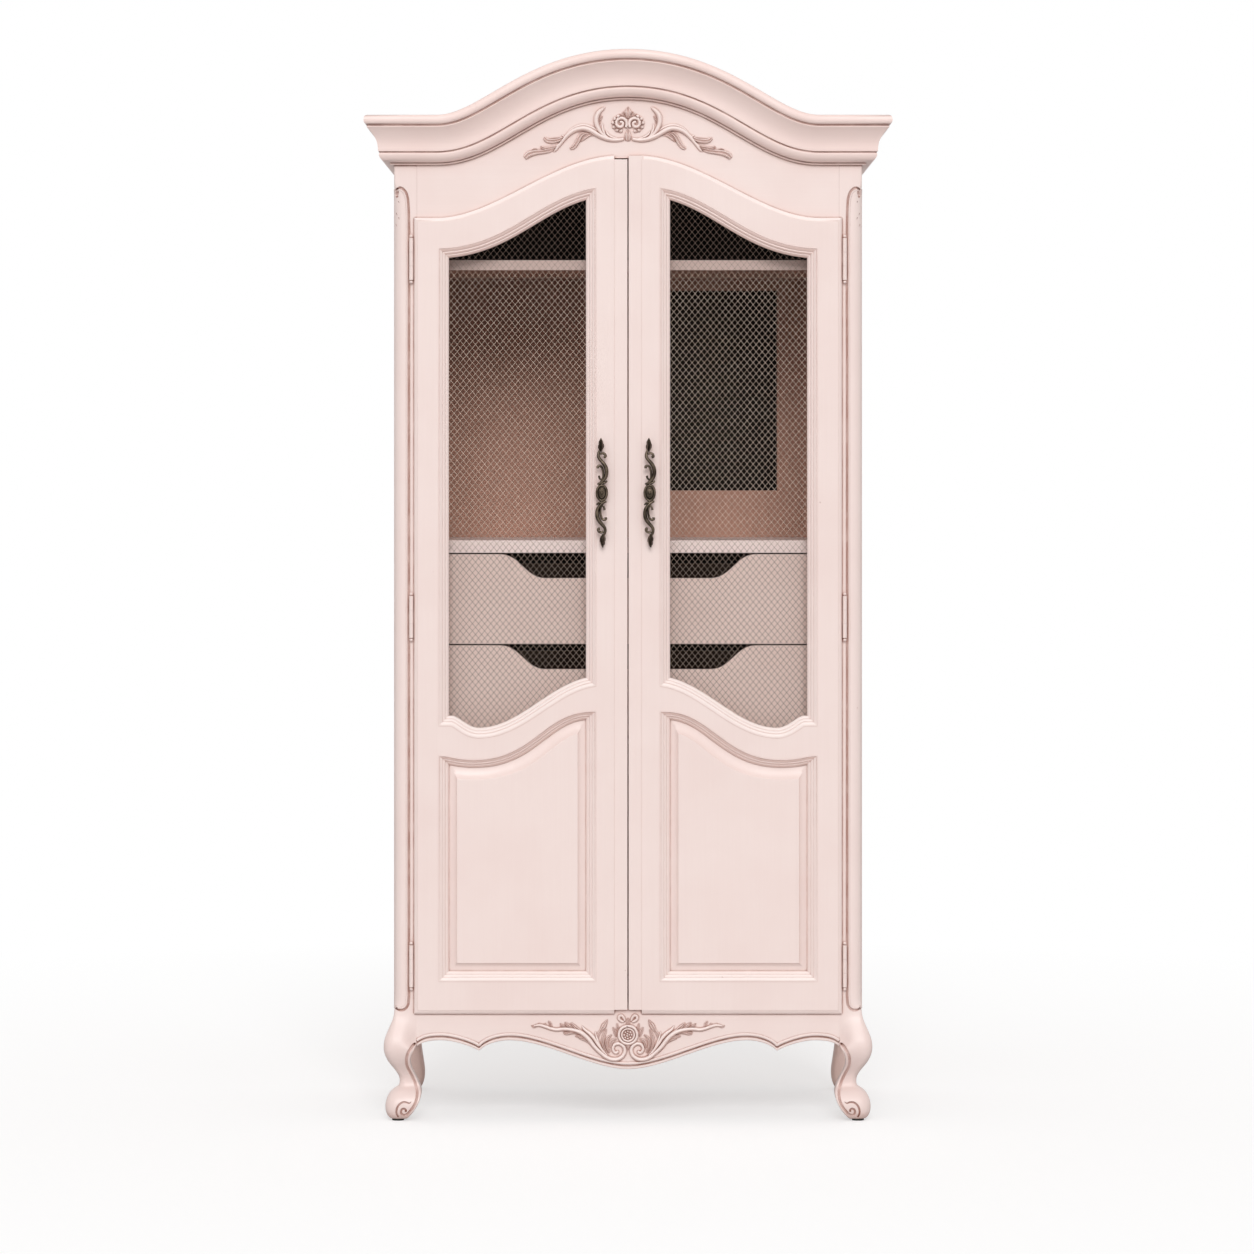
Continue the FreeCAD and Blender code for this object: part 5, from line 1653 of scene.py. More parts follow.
@dataclass
class RearPost:
    """A rear post: its squared shaft as packed, over a bowed leg."""

    wardrobe: "Wardrobe"
    cut: float = 183.0
    half_body: float = 468.0
    half_opening: float = 422.0
    front: float = 233.0
    rear: float = 279.0
    flat_up_to: float = 185.0
    shaft: float = 214.0
    shaft_run: float = 60.0
    arris: float = 1.6

    LEG = (
        (3.0, -471.0, -437.0, 12.0), (8.0, -474.5, -432.0, 14.0), (18.0, -476.5, -428.0, 16.0),
        (33.0, -475.5, -426.0, 16.0), (48.0, -470.5, -427.0, 15.0), (66.0, -465.0, -430.0, 14.0),
        (85.0, -463.5, -433.0, 13.0), (104.0, -467.0, -435.0, 13.0), (122.0, -472.5, -435.0, 13.0),
        (140.0, -476.5, -431.0, 13.0), (158.0, -476.5, -424.5, 11.0), (176.0, -473.5, -422.0, 8.0),
        (184.5, -471.6, -422.0, 6.0), (185.5, -471.2, -422.3, 6.0), (193.0, -464.0, -438.0, 5.0),
    )

    def leg(self) -> bpy.types.Object:
        """Draws the left rear leg, flat behind.

        Returns:
            The leg.
        """
        rings = []
        for height, outer, inner, corner in self.LEG:
            into = inner + self.half_opening
            low = (outer, self.front - into / 2)
            high = (inner, self.rear - max(0.0, height - self.flat_up_to))
            share = held((self.shaft - height) / self.shaft_run)
            soft = self.arris + (0.7 * corner - self.arris) * share
            ring = Loft.outline(low, high, (soft, soft, 0.5 * soft + 0.8, 0.6 * soft + 0.6))
            rings.append([(x, y, height) for x, y in ring])
        return Loft.draw(rings, True)

    def build(self) -> None:
        """Makes both rear posts."""
        leg = self.leg()
        Bench.modify(leg, "SUBSURF", levels=2, render_levels=2)
        for name, lower in (("rear_left_post", leg), ("rear_right_post", Bench.mirrored(leg))):
            shaft = Bench.placed(name, NODES[name].data.copy())
            shaft.matrix_world = NODES[name].matrix_world.copy()
            Bench.take(shaft)
            Bench.settle()
            Bench.tidy(shaft)
            Bench.open(shaft)
            level = (0.0, 0.0, self.cut / 1000)
            bpy.ops.mesh.bisect(plane_co=level, plane_no=(0.0, 0.0, 1.0), clear_inner=True, use_fill=True)
            Bench.clear()
            whole = Bench.join(name, [shaft, lower])
            Bench.seat(whole, name + "_bowed", "carcass", "painted_wood", self.wardrobe.legs, name)


@dataclass
class Apron:
    """The scalloped front apron with a groove along its lower lip."""

    wardrobe: "Wardrobe"
    end: float = 426.0
    top: float = 222.0
    front: float = -221.0
    back: float = -199.0
    round_over: float = 2.2
    lip: float = 7.6
    groove: float = 1.9
    groove_sink: float = 0.5
    bead: float = 3.4
    bead_sink: float = 0.3
    bead_overlap: float = 0.8
    steps: int = 14

    EDGE = (
        ((-422.0, 148.0), (-411.5, 157.0), (-396.7, 160.0), (-373.9, 160.0)),
        ((-373.9, 160.0), (-347.9, 160.0), (-313.9, 148.0), (-297.9, 139.0)),
        ((-297.9, 139.0), (-283.9, 153.0), (-259.9, 160.0), (-235.9, 160.0)),
        ((-235.9, 160.0), (-165.1, 160.0), (-70.8, 102.0), (0.0, 102.0)),
    )

    def edge(self, lift: float) -> list[Point]:
        """The lower edge from end to end.

        Args:
            lift: How far it is raised.

        Returns:
            Its points.
        """
        left = []
        for poles in self.EDGE:
            for step in range(self.steps):
                share = step / self.steps
                rest = 1 - share
                weights = (rest ** 3, 3 * share * rest ** 2, 3 * share ** 2 * rest, share ** 3)
                x = sum(weight * pole[0] for weight, pole in zip(weights, poles))
                z = sum(weight * pole[1] for weight, pole in zip(weights, poles))
                left.append((x, z + lift))
        return [*left, (0.0, self.EDGE[-1][-1][1] + lift), *[(-x, z) for x, z in reversed(left)]]

    def build(self) -> None:
        """Cuts the board, rounds its edge and runs the groove and the bead."""
        foot = self.EDGE[0][0][1]
        ends = [(self.end, foot), (self.end, self.top), (-self.end, self.top), (-self.end, foot)]
        faces = (self.front, self.back)
        board = Bench.board([[*self.edge(0.0), *ends]], faces, self.round_over, steps=3, inside=True)
        place = self.front + self.groove_sink
        grooved(board, [(x, place, z, self.groove) for x, z in self.edge(self.lip)])
        over = self.edge(self.lip + self.groove + self.bead - self.bead_overlap)
        place = self.front + self.bead_sink * self.bead
        bead = Chisel(steps=6).bend([(x, place, z, self.bead) for x, z in over])
        whole = Bench.join("front_apron", [board, bead])
        finish = self.wardrobe.edged
        Bench.seat(whole, "front_apron_scalloped", "carcass", "painted_wood", finish, "front_apron")


@dataclass
class FriezeCarving:
    """The carved spray over the doors."""

    wardrobe: "Wardrobe"
    face: float = -0.2208
    eye: Point = (-14.8, 1993.0)
    lobe_radii: Point = (13.6, 17.0)
    lobe_lean: float = 10.0
    swells: Point = (1.35, 1.2)

    STEMS = (
        (
            (-8.8, 1962.0, 2.4), (-22.8, 1960.0, 2.9), (-36.8, 1961.4, 3.3), (-50.8, 1966.0, 3.6),
            (-62.8, 1972.0, 3.8), (-72.8, 1978.0, 4.0), (-82.8, 1982.4, 4.0), (-92.8, 1983.4, 3.8),
            (-104.8, 1980.4, 3.6),
            (-114.8, 1974.6, 3.3), (-122.8, 1967.4, 3.0), (-130.8, 1958.0, 2.6), (-138.8, 1948.0, 2.4),
            (-144.8, 1940.0, 2.0), (-149.2, 1936.8, 0.9),
        ),
        (
            (-52.8, 1972.0, 1.2), (-64.8, 1981.0, 2.0), (-76.8, 1986.8, 2.3), (-88.8, 1989.6, 2.3),
            (-102.8, 1986.8, 2.1), (-114.8, 1980.0, 1.7), (-122.8, 1971.4, 0.8),
        ),
        (
            (-38.8, 1963.0, 2.2), (-50.8, 1971.0, 3.0), (-58.8, 1982.0, 3.4), (-63.2, 1994.0, 3.7),
            (-63.2, 2005.0, 3.8), (-58.8, 2014.6, 3.6), (-50.8, 2022.0, 2.6), (-45.8, 2025.4, 0.9),
        ),
        (
            (-32.8, 1962.8, 1.4), (-42.8, 1966.8, 2.0), (-49.0, 1976.0, 2.2), (-51.2, 1986.0, 1.8),
            (-49.2, 1993.6, 0.7),
        ),
        ((-20.8, 1962.4, 1.4), (-32.8, 1966.0, 1.9), (-41.2, 1972.4, 1.8), (-44.0, 1979.0, 0.7)),
        ((-134.8, 1954.0, 1.6), (-141.6, 1948.0, 1.8), (-144.8, 1942.8, 0.9)),
        ((-124.8, 1965.6, 1.6), (-132.2, 1969.6, 1.0)),
    )
    LEAVES = (
        (
            (-76.8, 1975.6, 1.8), (-88.8, 1972.8, 3.4), (-96.8, 1965.0, 3.8), (-102.8, 1954.0, 3.8),
            (-108.8, 1946.0, 3.4), (-115.6, 1942.8, 2.2),
        ),
        ((-66.8, 1971.6, 1.6), (-78.8, 1970.4, 3.4), (-88.8, 1964.0, 3.4), (-94.8, 1957.4, 1.6)),
        (
            (-124.8, 1966.0, 2.2), (-136.8, 1960.6, 3.4), (-150.8, 1958.0, 3.8), (-161.6, 1959.2, 3.6),
            (-167.6, 1964.0, 2.6),
        ),
        ((-130.8, 1964.8, 1.2), (-144.8, 1963.4, 1.8), (-157.8, 1962.8, 0.8)),
        ((-140.8, 1947.2, 1.8), (-154.8, 1944.0, 3.0), (-166.8, 1943.0, 3.0), (-174.8, 1946.8, 1.6)),
        (
            (-146.8, 1942.8, 2.0), (-158.8, 1938.4, 3.2), (-174.8, 1936.4, 3.8), (-187.8, 1934.8, 4.4),
            (-198.8, 1930.8, 4.8), (-205.6, 1924.8, 3.8),
        ),
        ((-176.8, 1938.0, 1.8), (-186.4, 1942.0, 1.6), (-191.8, 1940.8, 0.7)),
        ((-180.8, 1934.0, 1.8), (-190.8, 1930.0, 1.8), (-194.8, 1930.0, 0.7)),
        ((-61.8, 1998.0, 2.0), (-55.2, 2002.8, 2.6), (-50.8, 2008.0, 0.9)),
        ((-59.8, 1989.0, 1.6), (-55.6, 1996.8, 1.8), (-54.8, 1999.4, 0.7)),
        ((-7.0, 2004.0, 1.8), (-10.5, 2011.0, 2.4), (-9.6, 2017.0, 0.8)),
        ((-10.0, 2003.0, 1.6), (-15.6, 2008.0, 2.0), (-17.0, 2013.0, 0.7)),
    )
    MIDDLE = (
        ((0.0, 2004.0, 2.4), (0.0, 2015.0, 6.0), (0.0, 2026.6, 0.9)),
        ((0.0, 1981.0, 1.2), (0.0, 1970.0, 5.4), (0.0, 1961.0, 4.4), (0.0, 1957.6, 1.6)),
    )
    LOBES = (104.0, 137.0, 170.0, 203.0, 236.0, 266.0)

    def round_eye(self, angle: float, radius: float, half: float) -> tuple:
        """A stroke's point at an angle in degrees round the volute's eye."""
        lean = math.radians(angle)
        return (self.eye[0] + radius * math.cos(lean), self.eye[1] + radius * math.sin(lean), half)

    def curls(self) -> list[list[tuple]]:
        """The left volute with the small leaf lobes round it.

        Returns:
            The strokes.
        """
        runs = [volute(self.eye, (13.4, 2.4), 1.4, -35.0, (2.8, 2.4))]
        near, far = self.lobe_radii
        for angle in self.LOBES:
            inner = self.round_eye(angle, near, 3.0)
            outer = self.round_eye(angle + self.lobe_lean, far, 2.3)
            runs.append([inner, outer])
        return runs

    def build(self) -> None:
        """Carves the spray in one piece."""
        stem_swell, leaf_swell = self.swells
        strokes = reflected([*self.STEMS, *self.curls()])
        stems = Chisel(Section.ROUND).carve(strokes, self.face, stem_swell)
        strokes = reflected([*self.LEAVES]) + [*self.MIDDLE]
        leaves = Chisel(Section.LEAF).carve(strokes, self.face, leaf_swell)
        spray = Bench.join("frieze_spray", [stems, leaves])
        Bench.seat(spray, "frieze_spray", "carcass", "painted_wood", self.wardrobe.carved, "frieze_carving")


@dataclass
class ApronCarving:
    """The carved boss and branches on the apron."""

    wardrobe: "Wardrobe"
    face: float = -0.2208
    boss: Point = (0.0, 171.2)
    seed: Point = (0.9, 1.8)
    swells: Point = (1.2, 1.15)

    BOSS = ((18.0, 2.5), (12.6, 1.9))
    SEEDS = ((2.6, 3), (7.4, 8))
    STEMS = (
        (
            (-55.2, 136.0, 3.2), (-41.2, 125.4, 3.4), (-28.2, 122.0, 3.4), (-16.2, 124.4, 3.3),
            (-8.0, 132.8, 3.1), (-6.8, 143.2, 2.9), (-12.8, 151.2, 2.8), (-22.0, 153.6, 2.7),
            (-29.2, 148.0, 2.5), (-29.4, 140.0, 2.4), (-24.6, 135.2, 2.4), (-19.2, 138.0, 2.6),
        ),
        (
            (-41.2, 125.4, 2.6), (-55.2, 136.0, 3.4), (-67.2, 148.0, 3.6), (-77.2, 161.0, 3.8),
            (-87.2, 171.0, 3.8), (-99.2, 178.0, 3.6), (-115.2, 182.0, 3.2), (-131.2, 182.8, 2.8),
            (-143.2, 181.6, 2.7), (-155.2, 184.0, 2.6), (-165.2, 187.6, 2.6), (-177.2, 190.4, 2.3),
            (-188.2, 188.8, 1.2),
        ),
        (
            (-47.2, 135.0, 2.2), (-60.2, 152.0, 2.8), (-69.2, 166.0, 3.0), (-78.2, 175.0, 2.7),
            (-87.2, 182.0, 2.1), (-92.2, 189.0, 0.8),
        ),
        ((-42.2, 130.0, 1.6), (-55.2, 146.0, 2.3), (-62.2, 164.0, 2.2), (-65.2, 178.0, 0.8)),
        (
            (-8.4, 197.4, 2.0), (-14.6, 199.4, 2.3), (-18.4, 204.6, 2.4), (-14.6, 210.0, 2.4),
            (-9.4, 206.4, 2.2), (-6.4, 199.4, 1.8),
        ),
    )
    LEAVES = (
        ((-95.2, 178.0, 2.4), (-107.2, 188.0, 2.8), (-114.2, 195.2, 0.9)),
        ((-107.2, 184.0, 2.2), (-121.2, 190.8, 2.6), (-126.2, 196.0, 0.9)),
        ((-123.2, 186.0, 1.8), (-132.2, 190.0, 2.0), (-136.0, 194.0, 0.8)),
        ((-155.2, 187.0, 1.8), (-154.4, 192.0, 1.8), (-159.2, 198.0, 1.2)),
        ((-163.2, 188.0, 1.8), (-166.2, 192.0, 1.6), (-165.2, 195.0, 0.8)),
        ((-173.2, 190.0, 1.8), (-178.2, 194.4, 0.8)),
        ((-181.2, 189.6, 1.6), (-189.2, 186.8, 1.6), (-193.2, 190.0, 0.7)),
        (
            (-83.2, 172.0, 2.4), (-97.2, 176.4, 3.2), (-113.2, 177.2, 3.4), (-123.2, 174.4, 3.0),
            (-128.4, 175.2, 1.6),
        ),
        ((-75.2, 160.0, 2.6), (-85.2, 166.4, 3.2), (-96.2, 168.4, 2.8), (-105.2, 168.0, 1.0)),
        ((-71.2, 152.0, 2.6), (-81.2, 160.0, 3.0), (-92.2, 163.6, 2.4), (-98.2, 164.0, 0.9)),
        (
            (-40.0, 130.0, 1.4), (-48.2, 146.0, 2.4), (-50.2, 162.0, 2.8), (-46.2, 175.0, 2.1),
            (-43.2, 182.0, 0.8),
        ),
        ((-63.2, 158.0, 2.0), (-59.2, 172.0, 2.4), (-54.2, 180.0, 1.8)),
        ((-56.2, 176.0, 1.6), (-48.2, 189.0, 4.0), (-41.2, 201.4, 0.8)),
        ((-37.2, 136.0, 1.6), (-43.2, 152.0, 2.4), (-40.2, 164.0, 2.6), (-32.2, 171.0, 1.0)),
        ((-33.2, 146.0, 2.2), (-34.6, 153.0, 2.6), (-30.2, 160.0, 2.6), (-23.2, 162.8, 1.2)),
        ((-30.2, 186.0, 1.0), (-26.4, 178.0, 2.4), (-24.0, 168.0, 1.6)),
        ((-22.0, 194.0, 0.9), (-20.6, 186.0, 2.0), (-20.0, 180.0, 1.4)),
    )
    MIDDLE = (
        ((0.0, 154.0, 2.4), (0.0, 148.0, 3.2), (0.0, 140.0, 0.8)),
        ((0.0, 191.0, 2.2), (0.0, 198.0, 2.8), (0.0, 205.0, 0.8)),
    )

    def rings(self) -> list[list[tuple]]:
        """The rings of the boss and the seeds inside them.

        Returns:
            The strokes.
        """
        runs = [volute(self.boss, (radius, radius), 1.03, 90.0, (half, half)) for radius, half in self.BOSS]
        reach, half = self.seed
        for radius, count in self.SEEDS:
            for number in range(count):
                angle = math.tau * number / count
                x = self.boss[0] + radius * math.cos(angle)
                z = self.boss[1] + radius * math.sin(angle)
                runs.append([(x - reach, z - reach, half), (x + reach, z + reach, half)])
        return runs

    def build(self) -> None:
        """Carves the boss and both branches in one piece."""
        stem_swell, leaf_swell = self.swells
        stems = Chisel(Section.ROUND).carve(reflected([*self.STEMS]) + self.rings(), self.face, stem_swell)
        strokes = reflected([*self.LEAVES]) + [*self.MIDDLE]
        leaves = Chisel(Section.LEAF).carve(strokes, self.face, leaf_swell)
        spray = Bench.join("apron_spray", [stems, leaves])
        Bench.seat(spray, "apron_spray", "carcass", "painted_wood", self.wardrobe.carved, "apron_carving")


@dataclass
class Pull:
    """A cast scrolled pull: one half drawn, the other half turned round."""

    wardrobe: "Wardrobe"
    height: float = 1255.0
    plane: float = -0.2490
    door_face: float = -0.2326
    foot_place: float = 92.0
    foot_aside: float = 1.6
    foot_radius: float = 3.2
    places: Point = (-52.2, 43.2)

    OVALS = ((10.0, 15.2, 2.4), (5.8, 9.6, 1.5))
    DOMES = ((10.0, 15.0, 1.6), (3.2, 5.0, 3.6))
    STEMS = (
        (
            (-3.8, 85.0, 2.2), (-6.6, 78.0, 2.9), (-6.2, 71.0, 3.2), (-1.2, 63.8, 3.5), (5.0, 56.3, 4.0),
            (9.0, 46.3, 4.1), (8.8, 35.0, 3.7), (4.5, 26.3, 3.1), (-2.5, 19.5, 2.7), (-7.6, 15.8, 1.9),
        ),
        ((-3.5, 77.0, 2.2), (1.3, 79.0, 2.5), (6.3, 76.3, 2.8), (7.0, 72.0, 2.7), (3.6, 71.0, 2.4)),
        (
            (-7.6, 48.6, 2.6), (-8.0, 52.6, 2.5), (-2.4, 53.2, 2.4), (1.8, 45.4, 2.3), (3.0, 36.0, 2.2),
            (1.2, 27.0, 2.1), (-3.6, 19.4, 1.9),
        ),
        ((-5.6, 34.4, 2.4), (-4.4, 29.4, 2.1), (-0.4, 25.2, 1.7)),
        ((0.0, 18.6, 2.4), (5.6, 20.4, 2.5), (11.0, 23.8, 1.5)),
        ((0.0, 18.0, 2.2), (-5.0, 19.0, 2.2), (-9.4, 17.0, 1.4)),
        ((-5.8, 87.0, 1.5), (-2.0, 90.0, 2.1), (1.8, 87.0, 1.5)),
        ((-5.6, 92.4, 1.5), (-1.6, 95.4, 2.1), (2.4, 92.4, 1.5)),
        ((-5.0, 97.8, 1.4), (-1.4, 100.8, 2.0), (2.4, 97.8, 1.4)),
        ((-4.2, 103.0, 1.2), (-1.6, 105.6, 1.7), (1.0, 103.0, 1.2)),
    )
    LEAVES = (
        ((-2.6, 82.0, 2.6), (-1.6, 92.0, 4.6), (-1.2, 100.0, 4.2), (-2.0, 109.0, 1.2)),
        ((-4.0, 86.0, 1.6), (-6.0, 91.0, 1.7), (-6.4, 96.0, 0.8)),
        ((0.0, 86.0, 1.6), (2.6, 92.0, 1.8), (3.4, 98.0, 0.9)),
        ((-3.4, 94.0, 1.6), (-5.0, 99.5, 1.6), (-4.8, 104.0, 0.7)),
        ((3.4, 58.0, 1.5), (8.2, 49.0, 2.0), (8.6, 38.0, 1.8), (5.4, 29.0, 0.8)),
    )

    @staticmethod
    def both_halves(runs: tuple) -> list[list[tuple]]:
        """Strokes with the same strokes turned half round."""
        upper = [list(run) for run in runs]
        return upper + [[(-x, -z, half) for x, z, half in run] for run in upper]

    @staticmethod
    def oval(across: float, up: float, half: float) -> list[tuple]:
        """A closed oval stroke round the middle.

        Args:
            across: Its half width.
            up: Its half height.
            half: The stroke's half width.

        Returns:
            The stroke.
        """
        points = []
        for step in range(17):
            angle = math.tau * step / 16
            points.append((across * math.sin(angle), up * math.cos(angle), half))
        return points

    def dome(self, across: float, up: float, rise: float) -> bpy.types.Object:
        """A flattened dome on the middle of the pull.

        Args:
            across: Its half width.
            up: Its half height.
            rise: How far it stands out.

        Returns:
            The dome.
        """
        Bench.clear()
        bpy.ops.mesh.primitive_uv_sphere_add(segments=24, ring_count=12, radius=0.001)
        dome = bpy.context.object
        dome.scale = (across, rise, up)
        dome.location = (0.0, self.plane, 0.0)
        Bench.settle()
        return dome

    def foot(self, up: float) -> bpy.types.Object:
        """A short post that holds the pull off the door.

        Args:
            up: Its height over the middle of the pull.

        Returns:
            The post.
        """
        Bench.clear()
        length = self.door_face - self.plane
        turn = (math.pi / 2, 0.0, 0.0)
        radius = self.foot_radius / 1000
        bpy.ops.mesh.primitive_cylinder_add(vertices=20, radius=radius, depth=length, rotation=turn)
        foot = bpy.context.object
        aside = -self.foot_aside if up > 0 else self.foot_aside
        foot.location = (aside / 1000, (self.door_face + self.plane) / 2, up / 1000)
        Bench.settle()
        return foot

    def cast(self) -> bpy.types.Object:
        """Casts one pull with its middle at the origin.

        Returns:
            The pull.
        """
        strokes = self.both_halves(self.STEMS) + [self.oval(*sizes) for sizes in self.OVALS]
        stems = Chisel(Section.ROUND).carve(strokes, self.plane)
        leaves = Chisel(Section.LEAF).carve(self.both_halves(self.LEAVES), self.plane)
        domes = [self.dome(*sizes) for sizes in self.DOMES]
        feet = [self.foot(self.foot_place), self.foot(-self.foot_place)]
        return Bench.join("pull", [stems, leaves, *domes, *feet])

    def build(self) -> None:
        """Casts the pull twice and hangs one on each door."""
        for door, place in zip(("left_door", "right_door"), self.places):
            pull = self.cast()
            Bench.take(pull)
            pull.location = metres(place, 0.0, self.height)
            Bench.settle()
            Bench.seat(pull, door + "_pull", door, "bronze", self.wardrobe.bronze, door + "_handle")


@dataclass
class WireScreen:
    """The woven wire of a door: two sets of slanted wires that pass over and under."""

    wardrobe: "Wardrobe"
    pitch: Point = (12.2, 14.5)
    wire: float = 0.3
    knot: float = 2.2
    stout: float = 1.5
    stout_below: float = 1160.0
    plane: float = -220.0
    heights: Point = (750.0, 1880.0)

    @staticmethod
    def inside(x: float, z: float) -> bool:
        """Whether a place lies in the left door's upper opening.

        Args:
            x: The place across.
            z: Its height.

        Returns:
            True inside the opening.
        """
        if not DoorLines.LEFT < x < DoorLines.RIGHT:
            return False
        return DoorLines.sill(x) < z < level_sweep(x, DoorLines.HEAD)

    def runs(self, slope: int) -> list[list[tuple]]:
        """The wires that lean one way.

        Args:
            slope: 1 for the wires that rise to the right, -1 for the others.

        Returns:
            The wires' points in millimetres.
        """
        wide, high = self.pitch[0] / 2, self.pitch[1] / 2
        columns = range(int(DoorLines.LEFT / wide) - 1, int(DoorLines.RIGHT / wide) + 2)
        low, top = self.heights
        rows = range(int(low / high), int(top / high) + 1)
        lines: dict[int, list[tuple]] = {}
        for column in columns:
            for row in rows:
                if (column + row) % 2 == 0 and self.inside(column * wide, row * high):
                    over = 1 if (column - row) // 2 % 2 == (column + row) // 2 % 2 else -1
                    depth = self.plane - slope * over * self.wire
                    lines.setdefault(row - slope * column, []).append((column * wide, depth, row * high))
        return [line for line in lines.values() if len(line) > 1]

    def weave(self) -> bpy.types.Object:
        """Weaves the left door's wire, with a knot at every crossing.

        Returns:
            The wire as one mesh.
        """
        data = bpy.data.curves.new("wire", "CURVE")
        data.dimensions = "3D"
        data.bevel_depth = self.wire / 1000
        data.bevel_resolution = 1
        data.use_fill_caps = True
        rising = self.runs(1)
        for line in rising + self.runs(-1):
            run = Bench.straight(data, [metres(*place) for place in line])
            for point, (_, _, z) in zip(run.points, line):
                point.radius = self.stout if z < self.stout_below else 1.0
        for x, _, z in [place for line in rising for place in line]:
            ends = [metres(x, self.plane, z + lift) for lift in (-self.wire, self.wire)]
            for point in Bench.straight(data, ends).points:
                point.radius = self.knot
        return Bench.from_curve(data)

    def build(self) -> None:
        """Weaves the wire for both doors."""
        left = self.weave()
        right = Bench.mirrored(left)
        for screen, door in ((left, "left_door"), (right, "right_door")):
            Bench.seat(screen, door + "_woven_wire", door, "wire", self.wardrobe.wire, door + "_wire_mesh")


@dataclass
class Studio:
    """The camera, the floor and the soft light."""

    eye: tuple[float, float, float] = (0.0, -9.721, 1.31)
    lens: float = 136.4
    sensor: float = 36.0
    shift: Point = (-0.0008, -0.129)
    floor_half: float = 30.0
    floor_colour: Colour = (0.592, 0.605, 0.61)
    floor_lift: float = 0.475
    run_out: Point = (1.1, 3.4)
    tint: Colour = (1.0, 0.95, 0.93)
    ambient: float = 0.60

    SUNS = (("key", (0.4, -9.0, 4.8), 1.38, 24.0), ("fill", (-1.6, -9.0, 0.4), 0.45, 60.0))

    def camera(self) -> None:
        """Stands the camera level, straight before the doors."""
        data = bpy.data.cameras.new("camera")
        data.lens = self.lens
        data.sensor_width = self.sensor
        data.shift_x, data.shift_y = self.shift
        data.clip_end = 200.0
        eye = Bench.placed("camera", data)
        eye.location = self.eye
        eye.rotation_euler = (math.pi / 2, 0.0, 0.0)
        bpy.context.scene.camera = eye

    def floor(self) -> None:
        """Lays a pale floor that keeps the shadow and runs out into white."""
        Bench.clear()
        bpy.ops.mesh.primitive_plane_add(size=2 * self.floor_half, location=(0.0, 0.0, -0.0002))
        ground = bpy.context.object
        ground.name = "floor"
        shader = Shader("studio_floor")
        shader.bsdf.inputs["Base Color"].default_value = (*self.floor_colour, 1.0)
        shader.bsdf.inputs["Roughness"].default_value = 0.9
        shader.bsdf.inputs["Specular IOR Level"].default_value = 0.1
        path = shader.add("ShaderNodeLightPath")
        lift = shader.add("ShaderNodeEmission")
        lit = shader.add("ShaderNodeAddShader")
        lifted = shader.ramp(path.outputs["Is Camera Ray"], WHOLE, (0.0, self.floor_lift))
        shader.link(lifted, lift.inputs["Strength"])
        shader.link(shader.bsdf.outputs["BSDF"], lit.inputs[0])
        shader.link(lift.outputs["Emission"], lit.inputs[1])
        white = shader.add("ShaderNodeEmission")
        far = shader.add("ShaderNodeVectorMath", operation="LENGTH")
        shader.link(shader.place, far.inputs[0])
        run_out = shader.ramp(far.outputs["Value"], self.run_out, WHOLE)
        seen = shader.reckon("MULTIPLY", run_out, path.outputs["Is Camera Ray"])
        both = shader.add("ShaderNodeMixShader")
        shader.link(seen, both.inputs["Fac"])
        shader.link(lit.outputs["Shader"], both.inputs[1])
        shader.link(white.outputs["Emission"], both.inputs[2])
        shader.link(both.outputs["Shader"], shader.tree.nodes["Material Output"].inputs["Surface"])
        ground.data.materials.append(shader.material)

    def sun(self, name: str, place: tuple, strength: float, spread: float) -> None:
        """Hangs one far soft lamp that lights every height alike.

        Args:
            name: The lamp's name.
            place: A point on the line from the origin to the lamp.
            strength: Its strength in watts a square metre.
            spread: How wide it looks, in degrees.
        """
        data = bpy.data.lights.new(name, "SUN")
        data.energy = strength
        data.angle = math.radians(spread)
        lamp = Bench.placed(name, data)
        lamp.location = place
        lamp.rotation_euler = Vector(place).to_track_quat("Z", "Y").to_euler()

    def surround(self) -> None:
        """A surround that lights softly and shows white itself and in mirrors."""
        scene = bpy.context.scene
        scene.view_settings.view_transform = "Standard"
        world = bpy.data.worlds.new("studio")
        scene.world = world
        world.use_nodes = True
        tree = world.node_tree
        sky = tree.nodes["Background"]
        tint = tree.nodes.new("ShaderNodeMix")
        tint.data_type = "RGBA"
        tint.inputs[6].default_value = (*self.tint, 1.0)
        tint.inputs[7].default_value = (1.0, 1.0, 1.0, 1.0)
        tree.links.new(tint.outputs[2], sky.inputs["Color"])
        path = tree.nodes.new("ShaderNodeLightPath")
        seen = path.outputs["Is Camera Ray"]
        for label in ("Is Glossy Ray", "Is Transmission Ray"):
            either = tree.nodes.new("ShaderNodeMath")
            either.operation = "MAXIMUM"
            tree.links.new(seen, either.inputs[0])
            tree.links.new(path.outputs[label], either.inputs[1])
            seen = either.outputs["Value"]
        level = tree.nodes.new("ShaderNodeMapRange")
        level.inputs["To Min"].default_value = self.ambient
        level.inputs["To Max"].default_value = 1.0
        tree.links.new(seen, level.inputs["Value"])
        tree.links.new(seen, tint.inputs["Factor"])
        tree.links.new(level.outputs["Result"], sky.inputs["Strength"])

    def build(self) -> None:
        """Sets up the whole studio."""
        self.camera()
        self.floor()
        self.surround()
        for name, place, strength, spread in self.SUNS:
            self.sun(name, place, strength, spread)


